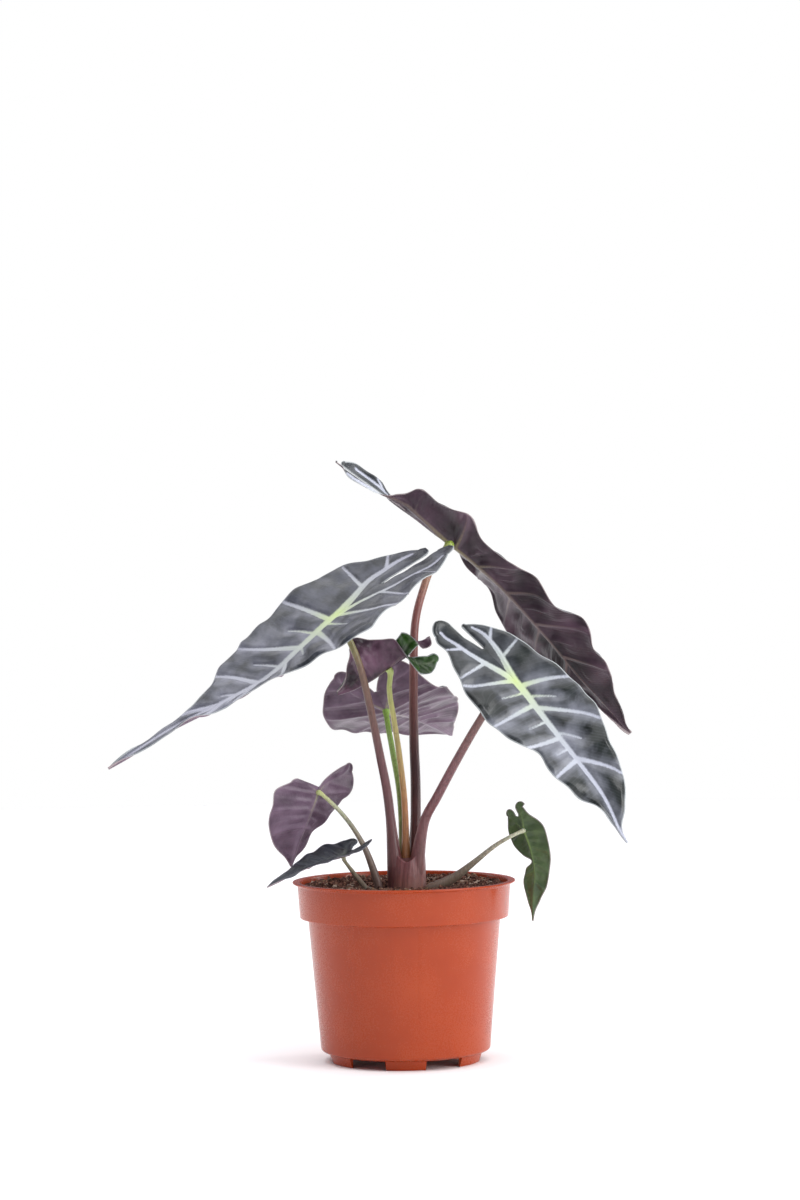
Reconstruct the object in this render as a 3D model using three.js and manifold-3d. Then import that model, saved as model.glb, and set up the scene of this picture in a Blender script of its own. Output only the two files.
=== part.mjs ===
// A potted alocasia: eight arrow-shaped leaves on fleshy stalks, rising from a sheathed stem base
// that is rooted in potting soil in a moulded plastic nursery pot.
// Millimetres, +Z up. The origin is on the pot's axis, in the plane that its feet stand on.
// Seen from the front the viewer looks along +Y, with +X to the right.

import * as THREE from "three";
import { mergeVertices } from "three/addons/utils/BufferGeometryUtils.js";
import Module from "manifold-3d";

// Pot
const POT_HEIGHT = 97;
const LIP_RADIUS = 60;
const LIP_THICKNESS = 0.9;
const BAND_HEIGHT = 19.4;
const LIP_OVERHANG = 2.6;
const BAND_TAPER = 1.2;
const BAND_STEP = 4.4;
const BODY_TAPER = 6.2;
const POT_WALL = 1.3;
const FOOT_HEIGHT = 5;
const FOOT_INSET = 3.3;
const FOOT_WIDTH = 2.6;
const FOOT_COUNT = 6;
const FOOT_HALF_ANGLE = 15;
const BOSS_RADIUS = 9;
const DRAIN_RADIUS = 3.5;
const DRAIN_INSET = 15.3;
const POT_SEGMENTS = 60;

// Soil and the buried foot of the plant
const HEADSPACE = 5;
const SOIL_BUMP = 0.9;
const FIT_GAP = 0.35;
const ROOT_DEPTH = 22;
const ROOT_RADIUS = 13;
const ROOT_NECK_FLARE = 3;
const STEM_RADIUS = 8.7;
const STEM_TOP_RADIUS = 8.9;
const STEM_HEIGHT = 22;
const STEM_CENTRE_X = 1.8;
const STALK_DEPTH = 6;

// Leaves
const LEAF_THICKNESS = 0.9;
const STALK_LEAD = 4;
const STALK_SIDES = 8;
const LEAF_COLUMNS = 3;
const LOBE_ROWS = 6;
const BLADE_ROWS = 12;

const BAND_TOP_RADIUS = LIP_RADIUS - LIP_OVERHANG;
const BAND_BOTTOM_RADIUS = BAND_TOP_RADIUS - BAND_TAPER;
const BODY_TOP_RADIUS = BAND_BOTTOM_RADIUS - BAND_STEP;
const BODY_BOTTOM_RADIUS = BODY_TOP_RADIUS - BODY_TAPER;
const FOOT_RADIUS = BODY_BOTTOM_RADIUS - FOOT_INSET;
const DRAIN_CIRCLE_RADIUS = FOOT_RADIUS - DRAIN_INSET;
const SOIL_LEVEL = POT_HEIGHT - HEADSPACE;
const LEFT = -1;
const RIGHT = 1;

const wasm = await Module();
wasm.setup();

// ---------- helpers ----------

function solidOf(geometry) {
  const bare = geometry.index ? geometry.toNonIndexed() : geometry.clone();
  bare.deleteAttribute("normal");
  bare.deleteAttribute("uv");
  const merged = mergeVertices(bare, 1e-4);
  return new wasm.Manifold(
    new wasm.Mesh({
      numProp: 3,
      vertProperties: merged.attributes.position.array,
      triVerts: new Uint32Array(merged.index.array),
    }),
  );
}

function geometryOf(solid) {
  const mesh = solid.getMesh();
  const geometry = new THREE.BufferGeometry();
  geometry.setAttribute("position", new THREE.BufferAttribute(mesh.vertProperties, 3));
  geometry.setIndex(new THREE.BufferAttribute(mesh.triVerts, 1));
  geometry.computeVertexNormals();
  return geometry;
}

function geometryFrom(points, faces) {
  const geometry = new THREE.BufferGeometry().setFromPoints(points);
  geometry.setIndex(faces.flat());
  geometry.computeVertexNormals();
  return geometry;
}

// Turns [radius, height] pairs about the Z axis.
function lathe(profile, segments) {
  const points = profile.map(([radius, height]) => new THREE.Vector2(radius, height));
  return new THREE.LatheGeometry(points, segments).rotateX(Math.PI / 2);
}

function interpolate(x, xs, ys) {
  if (x <= xs[0]) return ys[0];
  for (let i = 1; i < xs.length; i++) {
    if (x <= xs[i]) {
      return ys[i - 1] + ((ys[i] - ys[i - 1]) * (x - xs[i - 1])) / (xs[i] - xs[i - 1] || 1);
    }
  }
  return ys[ys.length - 1];
}

function smoothCurve(points) {
  const vectors = points.map(([x, y, z = 0]) => new THREE.Vector3(x, y, z));
  return new THREE.CatmullRomCurve3(vectors, false, "centripetal");
}

// ---------- pot ----------

function potGeometry() {
  const bandBottom = POT_HEIGHT - BAND_HEIGHT;
  const lipBottom = POT_HEIGHT - LIP_THICKNESS;
  const floorTop = FOOT_HEIGHT + POT_WALL;
  const shell = lathe(
    [
      [0, FOOT_HEIGHT],
      [FOOT_RADIUS, FOOT_HEIGHT],
      [BODY_BOTTOM_RADIUS, FOOT_HEIGHT + POT_WALL],
      [BODY_TOP_RADIUS, bandBottom - POT_WALL / 2],
      [BAND_BOTTOM_RADIUS, bandBottom],
      [BAND_TOP_RADIUS, lipBottom - POT_WALL / 2],
      [LIP_RADIUS, lipBottom],
      [LIP_RADIUS, POT_HEIGHT],
      [BAND_TOP_RADIUS - POT_WALL, POT_HEIGHT],
      [BAND_BOTTOM_RADIUS - POT_WALL, bandBottom + POT_WALL],
      [BODY_TOP_RADIUS - POT_WALL, bandBottom],
      [BODY_BOTTOM_RADIUS - POT_WALL, floorTop],
      [0, floorTop],
    ],
    POT_SEGMENTS,
  );
  let pot = solidOf(shell);
  const overlap = POT_WALL / 2;
  const boss = new THREE.CylinderGeometry(BOSS_RADIUS, BOSS_RADIUS, FOOT_HEIGHT + overlap, 32);
  boss.rotateX(Math.PI / 2).translate(0, 0, (FOOT_HEIGHT + overlap) / 2);
  pot = pot.add(solidOf(boss));
  for (let i = 0; i < FOOT_COUNT; i++) {
    const turn = (i * 2 * Math.PI) / FOOT_COUNT - Math.PI / 2;
    pot = pot.add(solidOf(footGeometry(overlap).rotateZ(turn)));
    const drain = new THREE.CylinderGeometry(DRAIN_RADIUS, DRAIN_RADIUS, 4 * POT_WALL, 20);
    drain.rotateX(Math.PI / 2).translate(DRAIN_CIRCLE_RADIUS, 0, FOOT_HEIGHT).rotateZ(turn);
    pot = pot.subtract(solidOf(drain));
  }
  return geometryOf(pot);
}

// One curved foot, centred on +X.
function footGeometry(overlap) {
  const half = THREE.MathUtils.degToRad(FOOT_HALF_ANGLE);
  const outline = new THREE.Shape();
  outline.absarc(0, 0, FOOT_RADIUS - 0.05, -half, half, false);
  outline.absarc(0, 0, FOOT_RADIUS - FOOT_WIDTH, half, -half, true);
  return new THREE.ExtrudeGeometry(outline, {
    depth: FOOT_HEIGHT + overlap,
    bevelEnabled: false,
    curveSegments: 6,
  });
}

// ---------- stem base and soil ----------

// The corm below the soil and the column of old leaf sheaths above it.
function stemBaseGeometry(grow) {
  const depth = ROOT_DEPTH + grow;
  const geometry = lathe(
    [
      [0, -depth],
      [ROOT_RADIUS * 0.6 + grow, -depth],
      [ROOT_RADIUS + grow, -ROOT_DEPTH * 0.6],
      [STEM_RADIUS + ROOT_NECK_FLARE + grow, -ROOT_DEPTH * 0.3],
      [STEM_RADIUS + grow, -2],
      [STEM_RADIUS + grow, STEM_HEIGHT * 0.6],
      [STEM_TOP_RADIUS + grow, STEM_HEIGHT + grow],
      [0, STEM_HEIGHT + grow],
    ],
    24,
  );
  return geometry.translate(STEM_CENTRE_X, 0, SOIL_LEVEL);
}

function soilHeight(x, y) {
  const ripples = Math.sin(x / 7 + 1) * Math.cos(y / 9) + Math.sin(x / 4 - y / 5);
  return SOIL_LEVEL + (SOIL_BUMP * ripples) / 2;
}

function soilGeometry() {
  const bandBottom = POT_HEIGHT - BAND_HEIGHT;
  const inset = POT_WALL + FIT_GAP;
  const edge = BAND_BOTTOM_RADIUS - inset;
  const rings = 7;
  const profile = [
    [0, FOOT_HEIGHT + POT_WALL + FIT_GAP],
    [BODY_BOTTOM_RADIUS - inset, FOOT_HEIGHT + POT_WALL + FIT_GAP],
    [BODY_TOP_RADIUS - inset, bandBottom + FIT_GAP],
    [edge, bandBottom + POT_WALL + FIT_GAP],
  ];
  for (let i = 0; i <= rings; i++) {
    profile.push([edge * (1 - i / rings), SOIL_LEVEL]);
  }
  const block = lathe(profile, 40);
  const place = block.attributes.position;
  for (let i = 0; i < place.count; i++) {
    if (Math.abs(place.getZ(i) - SOIL_LEVEL) < 1e-3) {
      place.setZ(i, soilHeight(place.getX(i), place.getY(i)));
    }
  }
  let soil = solidOf(block).subtract(solidOf(stemBaseGeometry(FIT_GAP)));
  for (const name of ROOTED) {
    soil = soil.subtract(solidOf(stalkGeometry(LEAVES[name], FIT_GAP)));
  }
  return geometryOf(soil);
}

// ---------- leaves ----------

// A leaf's spine: a smooth curve measured by its length, with 0 where the stalk meets the blade,
// negative between the back lobes and positive towards the tip.
function spineOf(points) {
  const perSpan = 24;
  const curve = smoothCurve(points);
  const samples = curve.getPoints(perSpan * (points.length - 1));
  const lengths = [0];
  for (let i = 1; i < samples.length; i++) {
    lengths.push(lengths[i - 1] + samples[i].distanceTo(samples[i - 1]));
  }
  const zero = lengths[perSpan];
  const marks = lengths.map((length) => length - zero);
  const start = marks[0];
  const end = marks[marks.length - 1];
  const axis = (name) => samples.map((sample) => sample[name]);
  const [xs, ys, zs] = [axis("x"), axis("y"), axis("z")];
  const at = (s) => {
    const point = new THREE.Vector3(
      interpolate(s, marks, xs),
      interpolate(s, marks, ys),
      interpolate(s, marks, zs),
    );
    if (s < start) point.addScaledVector(curve.getTangent(0), s - start);
    if (s > end) point.addScaledVector(curve.getTangent(1), s - end);
    return point;
  };
  const direction = (s) => at(s + 2).sub(at(s - 2)).normalize();
  return { at, direction, start, end };
}

// Half width of one side of the blade along the spine, from its few outline points.
function outlineOf(points) {
  const samples = smoothCurve(points).getPoints(12 * (points.length - 1));
  const along = samples.map((sample) => sample.x);
  const across = samples.map((sample) => sample.y);
  const width = (s) => Math.max(interpolate(s, along, across), 0.3);
  return { width, start: points[0][0], lobeEnd: points[0][1], end: points[points.length - 1][0] };
}

function bladeOf(leaf) {
  const spine = spineOf(leaf.spine);
  const face = new THREE.Vector3(...leaf.face);
  const outline = { [LEFT]: outlineOf(leaf.left), [RIGHT]: outlineOf(leaf.right) };
  const stations = leaf.stations ?? [spine.start, 0, spine.end];

  // Blade axes at s: T along the spine, H to the right, U out of the upper face.
  const axesAt = (s) => {
    const T = spine.direction(s);
    const H = new THREE.Vector3().crossVectors(T, face).normalize();
    return { T, H, U: new THREE.Vector3().crossVectors(H, T) };
  };

  // A point of the blade, s along the spine and x out from it. Each side is lifted from flat
  // by an angle and curls by so many degrees for each millimetre out.
  const at = (side, x, s) => {
    const { H, U } = axesAt(s);
    const half = side === LEFT ? leaf.shape.left : leaf.shape.right;
    const lift = THREE.MathUtils.degToRad(interpolate(s, stations, half.lift));
    const bend = THREE.MathUtils.degToRad(interpolate(s, stations, half.curl ?? stations.map(() => 0)));
    const curl = Math.abs(bend) < 1e-5 ? 1e-5 : bend;
    const out = (Math.sin(lift + curl * x) - Math.sin(lift)) / curl;
    const up = (Math.cos(lift) - Math.cos(lift + curl * x)) / curl;
    const phase = side === LEFT ? 0 : 1;
    const reach = Math.min(x / outline[side].width(s), 1);
    const { height, length } = leaf.wave;
    const ripple = height * Math.sin((2 * Math.PI * s) / length + phase) * reach ** 2;
    return spine.at(s).addScaledVector(H, side * out).addScaledVector(U, up + ripple);
  };

  // The notch between the back lobes leaves each half an inner edge of its own.
  const innerEdge = (side, s) => {
    const { start, lobeEnd } = outline[side];
    const t = (leaf.notch - s) / (leaf.notch - start);
    if (t <= 0) return 0;
    return 2 * Math.sqrt(t) * (1 - t) + lobeEnd * t ** 1.6;
  };
  return { spine, outline, axesAt, at, innerEdge };
}

// Rows of one half from the tip of its back lobe to the tip of the leaf.
function halfRows(leaf, blade, side) {
  const { start, end, width } = blade.outline[side];
  const { lobeRows = LOBE_ROWS, bladeRows = BLADE_ROWS, columns = LEAF_COLUMNS } = leaf;
  const marks = [];
  for (let i = 0; i < lobeRows; i++) {
    marks.push(start + (leaf.notch - start) * (1 - Math.cos((Math.PI * i) / (2 * lobeRows))));
  }
  for (let i = 0; i <= bladeRows; i++) {
    marks.push(leaf.notch + (end - leaf.notch) * Math.sin((Math.PI * i) / (2 * bladeRows)));
  }
  return marks.map((s, i) => {
    const inner = Math.min(blade.innerEdge(side, s), width(s));
    const row = [];
    for (let j = 0; j <= columns; j++) {
      const x = i === 0 ? inner : inner + ((width(s) - inner) * j) / columns;
      row.push(blade.at(side, x, s));
    }
    return row;
  });
}

// A blade as one closed solid: both halves as a sheet, welded along the spine and thickened.
function bladeGeometry(leaf) {
  const blade = bladeOf(leaf);
  const points = [];
  const faces = [];
  for (const side of [LEFT, RIGHT]) {
    const rows = halfRows(leaf, blade, side);
    const columns = rows[0].length;
    const first = points.length;
    rows.forEach((row) => points.push(...row));
    for (let i = 0; i + 1 < rows.length; i++) {
      for (let j = 0; j + 1 < columns; j++) {
        const a = first + i * columns + j;
        const quad = [a, a + 1, a + columns + 1, a + columns];
        if (side === RIGHT) quad.reverse();
        faces.push([quad[0], quad[2], quad[1]], [quad[0], quad[3], quad[2]]);
      }
    }
  }
  return thicken(points, faces, LEAF_THICKNESS);
}

function thicken(points, faces, thickness) {
  const sheet = mergeVertices(geometryFrom(points, faces).deleteAttribute("normal"), 0.02);
  const count = sheet.attributes.position.count;
  const triangles = [];
  for (let i = 0; i < sheet.index.count; i += 3) {
    const [a, b, c] = [0, 1, 2].map((k) => sheet.index.getX(i + k));
    if (a !== b && b !== c && c !== a) triangles.push([a, b, c]);
  }
  sheet.setIndex(triangles.flat());
  sheet.computeVertexNormals();
  const middle = [];
  const normals = [];
  for (let i = 0; i < count; i++) {
    middle.push(new THREE.Vector3().fromBufferAttribute(sheet.attributes.position, i));
    normals.push(new THREE.Vector3().fromBufferAttribute(sheet.attributes.normal, i));
  }
  const upper = middle.map((p, i) => p.clone().addScaledVector(normals[i], thickness / 2));
  const lower = middle.map((p, i) => p.clone().addScaledVector(normals[i], -thickness / 2));
  const closed = triangles.map((face) => [...face]);
  const edges = new Set(triangles.flatMap(([a, b, c]) => [`${a},${b}`, `${b},${c}`, `${c},${a}`]));
  triangles.forEach(([a, b, c]) => closed.push([a + count, c + count, b + count]));
  for (const edge of edges) {
    const [a, b] = edge.split(",").map(Number);
    if (!edges.has(`${b},${a}`)) {
      closed.push([b, a, a + count], [b, a + count, b + count]);
    }
  }
  return geometryFrom([...upper, ...lower], closed);
}

// A stalk: it rises straight from its foot, follows its own points, and ends in a short straight
// lead square to the underside of its blade.
function stalkPath(leaf) {
  const blade = bladeOf(leaf);
  const { U } = blade.axesAt(0);
  const joint = blade.spine.at(0).addScaledVector(U, -(LEAF_THICKNESS / 2 + FIT_GAP));
  const lead = joint.clone().addScaledVector(U, -STALK_LEAD);
  const [foot, ...rest] = leaf.stalk.points.map((point) => new THREE.Vector3(...point));
  const rise = foot.clone().setZ(foot.z + STALK_LEAD);
  return [foot, rise, ...rest, lead, joint];
}

function stalkGeometry(leaf, grow) {
  const { from, to } = leaf.stalk;
  const curve = new THREE.CatmullRomCurve3(stalkPath(leaf), false, "centripetal");
  const steps = Math.max(8, Math.round(curve.getLength() / 9));
  const frames = curve.computeFrenetFrames(steps, false);
  const points = [];
  const faces = [];
  for (let i = 0; i <= steps; i++) {
    const t = i / steps;
    const radius = to + (from - to) * (1 - t) ** 1.3 + grow;
    const centre = curve.getPointAt(t);
    if (i === 0) centre.addScaledVector(frames.tangents[0], -grow);
    for (let j = 0; j < STALK_SIDES; j++) {
      const turn = (2 * Math.PI * j) / STALK_SIDES;
      const point = centre.clone();
      point.addScaledVector(frames.normals[i], radius * Math.cos(turn));
      points.push(point.addScaledVector(frames.binormals[i], radius * Math.sin(turn)));
      if (i < steps) {
        const a = i * STALK_SIDES + j;
        const b = i * STALK_SIDES + ((j + 1) % STALK_SIDES);
        faces.push([a, b, b + STALK_SIDES], [a, b + STALK_SIDES, a + STALK_SIDES]);
      }
    }
  }
  const last = steps * STALK_SIDES;
  for (let j = 1; j + 1 < STALK_SIDES; j++) {
    faces.push([0, j + 1, j], [last, last + j, last + j + 1]);
  }
  return geometryFrom(points, faces);
}

// ---------- the plant's leaves ----------
// Spine and stalk points are heights above the soil. Outlines are [along, out] pairs, with
// negative numbers along the back lobes. Lift and curl are given at the lobes, the stalk and
// the tip, or at stations of the leaf's own. A stalk's points run from its foot upwards, and its radii are at foot and top.

const STEM_TOP = STEM_HEIGHT + FIT_GAP;

// A point beside the stem: its direction in degrees, its distance clear of the stem, its height.
function besideStem(degrees, clearance, height) {
  const turn = THREE.MathUtils.degToRad(degrees);
  const reach = STEM_RADIUS + clearance;
  return [STEM_CENTRE_X + reach * Math.cos(turn), reach * Math.sin(turn), height];
}

const LEAVES = {
  // The largest leaf, held out to the left with its upper face to the front.
  a: {
    spine: [
      [16, -2, 180],
      [-33.5, -26, 149],
      [-53, -36, 132],
      [-70, -44, 117],
      [-96, -52, 103],
      [-124, -58, 89],
      [-149, -62, 73],
    ],
    face: [-0.28, -0.5, 0.82],
    left: [
      [-74, 8],
      [-66, 15],
      [-58, 20],
      [-45, 27],
      [-30, 34],
      [-12, 34],
      [4, 42],
      [16, 40],
      [28, 26],
      [42, 15],
      [60, 8],
      [110, 5],
      [130, 3],
      [149, 0.6],
    ],
    right: [
      [-66, 6],
      [-60, 13],
      [-50, 15],
      [-38, 20],
      [-25, 30],
      [10, 32],
      [30, 33],
      [50, 29],
      [66, 28],
      [80, 16],
      [95, 7],
      [135, 2],
      [149, 0.6],
    ],
    notch: -30,
    shape: { left: { lift: [12, 12, 12] }, right: { lift: [12, 12, 12] } },
    wave: { height: 1.5, length: 45 },
    stalk: {
      points: [
        [-4.2, -3.5, STEM_TOP],
        [-8, -8, 50.5],
        [-12, -12, 73.5],
        [-18, -18, 104.5],
        [-23, -23, 124.5],
      ],
      from: 3,
      to: 1.7,
    },
  },
  // The highest leaf, at the top right, showing its underside.
  b: {
    spine: [
      [-32, 14, 229.5],
      [27.5, 22, 186.5],
      [52, 30, 166],
      [66, 34, 151.5],
      [83, 38, 132],
      [98, 42, 113.5],
      [113, 46, 97],
      [127, 48, 80],
    ],
    face: [0.45, 0.62, 0.62],
    left: [
      [-74, 2],
      [-66, 8],
      [-56, 10],
      [-44, 11],
      [-30, 16],
      [-20, 24],
      [-8, 27],
      [4, 20],
      [14, 20],
      [30, 25],
      [44, 28],
      [74, 30],
      [88, 26],
      [108, 18],
      [122, 9],
      [136, 3],
      [148, 0.6],
    ],
    right: [
      [-77, 1],
      [-68, 4],
      [-58, 3.5],
      [-50, 1.5],
      [-42, 3],
      [-37, 7],
      [-33, 14],
      [-27, 17],
      [-15, 23],
      [-5, 24],
      [8, 17],
      [25, 19],
      [56, 21],
      [76, 26],
      [92, 23],
      [108, 20],
      [120, 12],
      [132, 6],
      [148, 0.6],
    ],
    notch: -30,
    stations: [-76, -50, -40, 0, 148],
    shape: {
      left: { lift: [80, 72, 55, 42, -25] },
      right: { lift: [-70, -50, 20, 6, 6] },
    },
    wave: { height: 2.2, length: 38 },
    lobeRows: 10,
    bladeRows: 16,
    stalk: {
      points: [
        [6.4, 3, STEM_TOP],
        [7, 6, 57.5],
        [6.5, 7.5, 77.5],
        [6.6, 11, 112.5],
        [8, 14, 144],
        [12, 16, 160],
        [18, 17.5, 175],
      ],
      from: 3.1,
      to: 2,
    },
  },
  // The leaf at the right, face on.
  c: {
    spine: [
      [29.5, -26, 143.5],
      [60, -37, 113],
      [76, -47, 92],
      [92, -56, 71],
      [105, -62, 52.5],
      [113, -66, 35],
      [117.5, -67, 27.5],
    ],
    face: [0.15, -0.9, 0.42],
    left: [
      [-42, 2],
      [-38, 7],
      [-28, 13],
      [-15, 18],
      [0, 21],
      [20, 26],
      [38, 26],
      [55, 21],
      [75, 15],
      [88, 8],
      [97, 2],
      [106, 0.6],
    ],
    right: [
      [-52, 9],
      [-44, 16],
      [-36, 17],
      [-20, 24],
      [0, 29],
      [20, 27],
      [32, 23],
      [42, 15],
      [52, 18],
      [62, 16],
      [80, 9],
      [90, 4],
      [98, 1.5],
      [106, 0.6],
    ],
    notch: -24,
    shape: { left: { lift: [8, 8, 8] }, right: { lift: [8, 8, 8] } },
    wave: { height: 1, length: 28 },
    stalk: {
      points: [
        [6.2, -4, STEM_TOP],
        [11.5, -6.5, 37],
        [18.5, -10, 50.5],
        [29.5, -17, 71],
        [41, -26, 91],
        [51, -32, 106],
      ],
      from: 3,
      to: 2,
    },
  },
  // The leaf behind the stalks, pointing away from the front.
  d: {
    spine: [
      [-20.5, 26, 119],
      [-8.5, 45, 95.5],
      [3, 66, 91],
      [15.5, 88, 85],
      [28, 112, 77.5],
    ],
    face: [0, 0.45, 0.89],
    left: [
      [-34, 14],
      [-28, 22],
      [-14, 32],
      [0, 36],
      [20, 34],
      [40, 26],
      [60, 15],
      [74, 4],
      [80, 0.6],
    ],
    right: [
      [-34, 14],
      [-28, 22],
      [-14, 30],
      [0, 36],
      [20, 34],
      [40, 25],
      [60, 12],
      [74, 4],
      [80, 0.6],
    ],
    notch: -14,
    shape: { left: { lift: [-4, -4, -4] }, right: { lift: [8, 8, 8] } },
    wave: { height: 1, length: 35 },
    stalk: {
      points: [
        [0.2, 5.8, STEM_TOP],
        [-1.5, 13, 50],
        [-5, 25, 72],
        [-7.5, 36, 86],
      ],
      from: 2.1,
      to: 1.5,
    },
  },
  // The young leaf in the middle, still rolled.
  e: {
    spine: [
      [15, -2, 131],
      [-7, -5, 119.5],
      [-16, -7, 113.5],
      [-26, -9, 108.5],
      [-34, -10, 106],
    ],
    face: [-0.4, -0.1, 0.9],
    left: [
      [-27, 7],
      [-22, 12],
      [-16, 13],
      [-13, 10],
      [-9, 14],
      [0, 19],
      [5, 24],
      [12, 24],
      [20, 17],
      [27, 8],
      [31, 3],
    ],
    right: [
      [-27, 8],
      [-25, 15],
      [-20, 17],
      [-14, 14],
      [-8, 11],
      [-2, 12],
      [4, 19],
      [12, 17],
      [20, 11],
      [31, 2],
    ],
    notch: -12,
    stations: [-27, -20, -15, -10, 0, 31],
    shape: {
      left: { lift: [-75, -75, -72, 58, 66, 30], curl: [-2, -2, -2, 2, 2.5, 3] },
      right: { lift: [100, 95, 80, 75, 66, 50], curl: [10, 9, 3, 2.5, 2, 5] },
    },
    wave: { height: 0.3, length: 20 },
    columns: 6,
    lobeRows: 8,
    bladeRows: 12,
    stalk: {
      points: [
        [1.2, 0, STEM_TOP],
        [1, -1.5, 45],
        [-1.5, -3, 72],
        [-4, -4, 90],
        [-6.5, -5, 108],
      ],
      from: 2,
      to: 1.4,
    },
  },
  // The small leaf at the lower left, showing its underside.
  f: {
    spine: [
      [-43.5, -14, 63],
      [-45.5, -16, 54],
      [-50.5, -15, 41],
      [-56.5, -10, 27],
      [-61, -2, 11],
    ],
    face: [-0.5, 0.75, 0.4],
    left: [
      [-4, 14],
      [0, 19],
      [6, 24],
      [14, 23],
      [24, 20],
      [32, 14],
      [39, 6],
      [46, 0.6],
    ],
    right: [
      [-22, 22],
      [-14, 28],
      [-4, 25],
      [8, 17],
      [20, 12],
      [32, 6],
      [46, 0.6],
    ],
    notch: -3,
    shape: { left: { lift: [10, 10, 10] }, right: { lift: [10, 10, 10] } },
    wave: { height: 0.6, length: 20 },
    bladeRows: 8,
    lobeRows: 5,
    stalk: {
      points: [
        besideStem(185.6, 6.8, -STALK_DEPTH),
        besideStem(187.4, 6.8, 2),
        [-15.5, -3, 8.5],
        [-20.5, -6, 22.5],
        [-27, -10, 34.5],
        [-35, -15, 45],
      ],
      from: 1.9,
      to: 1,
    },
  },
  // The narrow leaf below it, seen along its upper face.
  g: {
    spine: [
      [-22, -20, 26.5],
      [-32, -28, 21],
      [-44, -36, 18.5],
      [-58.5, -44, 13],
      [-72, -50, 6.5],
    ],
    face: [-0.35, -0.35, 0.87],
    left: [
      [-14, 4],
      [-8, 9],
      [0, 11],
      [12, 11],
      [24, 8],
      [36, 4],
      [48, 0.6],
    ],
    right: [
      [-14, 4],
      [-8, 12],
      [2, 15],
      [12, 12],
      [24, 8],
      [36, 4],
      [48, 0.6],
    ],
    notch: -6,
    shape: { left: { lift: [15, 15, 15] }, right: { lift: [15, 15, 15] } },
    wave: { height: 0.5, length: 20 },
    bladeRows: 8,
    lobeRows: 4,
    stalk: {
      points: [
        besideStem(204.4, 13, -STALK_DEPTH),
        besideStem(206.3, 16.2, 2),
        [-24, -16, 7],
        [-28, -22, 13],
      ],
      from: 1.4,
      to: 0.8,
    },
  },
  // The small leaf that hangs over the lip at the right.
  h: {
    spine: [
      [LIP_RADIUS - 1.5, -22, 45.5],
      [LIP_RADIUS + 4.5, -24, 33],
      [LIP_RADIUS + 8.5, -25, 21],
      [LIP_RADIUS + 10, -25, 10.5],
      [LIP_RADIUS + 9, -23, -2],
      [LIP_RADIUS + 8.5, -20, -17],
    ],
    face: [0.5, 0.8, 0.25],
    left: [
      [-14, 4],
      [-9, 8],
      [0, 12],
      [8, 10],
      [13, 7],
      [17, 1.5],
      [21, 6],
      [28, 8],
      [36, 5],
      [44, 2],
      [50, 0.6],
    ],
    right: [
      [-15, 4],
      [-8, 7],
      [2, 11],
      [12, 11],
      [20, 9],
      [30, 7],
      [38, 4],
      [44, 1.5],
      [50, 0.6],
    ],
    notch: -8,
    shape: { left: { lift: [8, 8, 8] }, right: { lift: [8, 8, 8] } },
    wave: { height: 0.5, length: 20 },
    bladeRows: 11,
    lobeRows: 4,
    stalk: {
      points: [
        besideStem(-26.2, 4.9, -STALK_DEPTH),
        besideStem(-27, 8.9, 2),
        [27, -11, 7],
        [LIP_RADIUS - 23.5, -15, 14.5],
        [LIP_RADIUS - 11.5, -21, 24.5],
        [LIP_RADIUS - 3, -27, 30],
      ],
      from: 2.4,
      to: 0.9,
    },
  },
};

// Stalks that come up through the soil by themselves.
const ROOTED = ["f", "g", "h"];

for (const leaf of Object.values(LEAVES)) {
  leaf.spine = leaf.spine.map(([x, y, z]) => [x, y, z + SOIL_LEVEL]);
  leaf.stalk.points = leaf.stalk.points.map(([x, y, z]) => [x, y, z + SOIL_LEVEL]);
}

// ---------- assembly ----------

const MATERIALS = {
  plastic: { color: 0xb9583a, roughness: 0.45, metalness: 0 },
  soil: { color: 0x5a4030, roughness: 0.95, metalness: 0 },
  sheath: { color: 0x70494c, roughness: 0.5, metalness: 0 },
  stalk: { color: 0x8c6060, roughness: 0.45, metalness: 0 },
  blade: { color: 0x3c4a48, roughness: 0.4, metalness: 0 },
  underside: { color: 0x665068, roughness: 0.5, metalness: 0 },
};

const plant = new THREE.Group();

function addPart(name, geometry, material) {
  const mesh = new THREE.Mesh(geometry, new THREE.MeshStandardMaterial(MATERIALS[material]));
  mesh.name = name;
  plant.add(mesh);
}

const FRONT_SHOWS_UNDERSIDE = ["b", "d", "e", "f", "h"];

addPart("pot", potGeometry(), "plastic");
addPart("potting_soil", soilGeometry(), "soil");
addPart("stem_base", stemBaseGeometry(0), "sheath");
for (const [name, leaf] of Object.entries(LEAVES)) {
  addPart(`stalk_${name}`, stalkGeometry(leaf, 0), "stalk");
  const material = FRONT_SHOWS_UNDERSIDE.includes(name) ? "underside" : "blade";
  addPart(`leaf_${name}`, bladeGeometry(leaf), material);
}

export default plant;
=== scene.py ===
# %% [markdown]
# # A potted alocasia
# This lesson builds a young alocasia in its nursery pot. The plant is all thin skins: blades less
# than a millimetre thick, fleshy stalks, and papery sheaths round the foot. We model each blade in
# flat leaf coordinates, "along" the spine and "out" from it, and only then bend it into space.
# That keeps veins, margins and colours easy to describe.

import math

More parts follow.
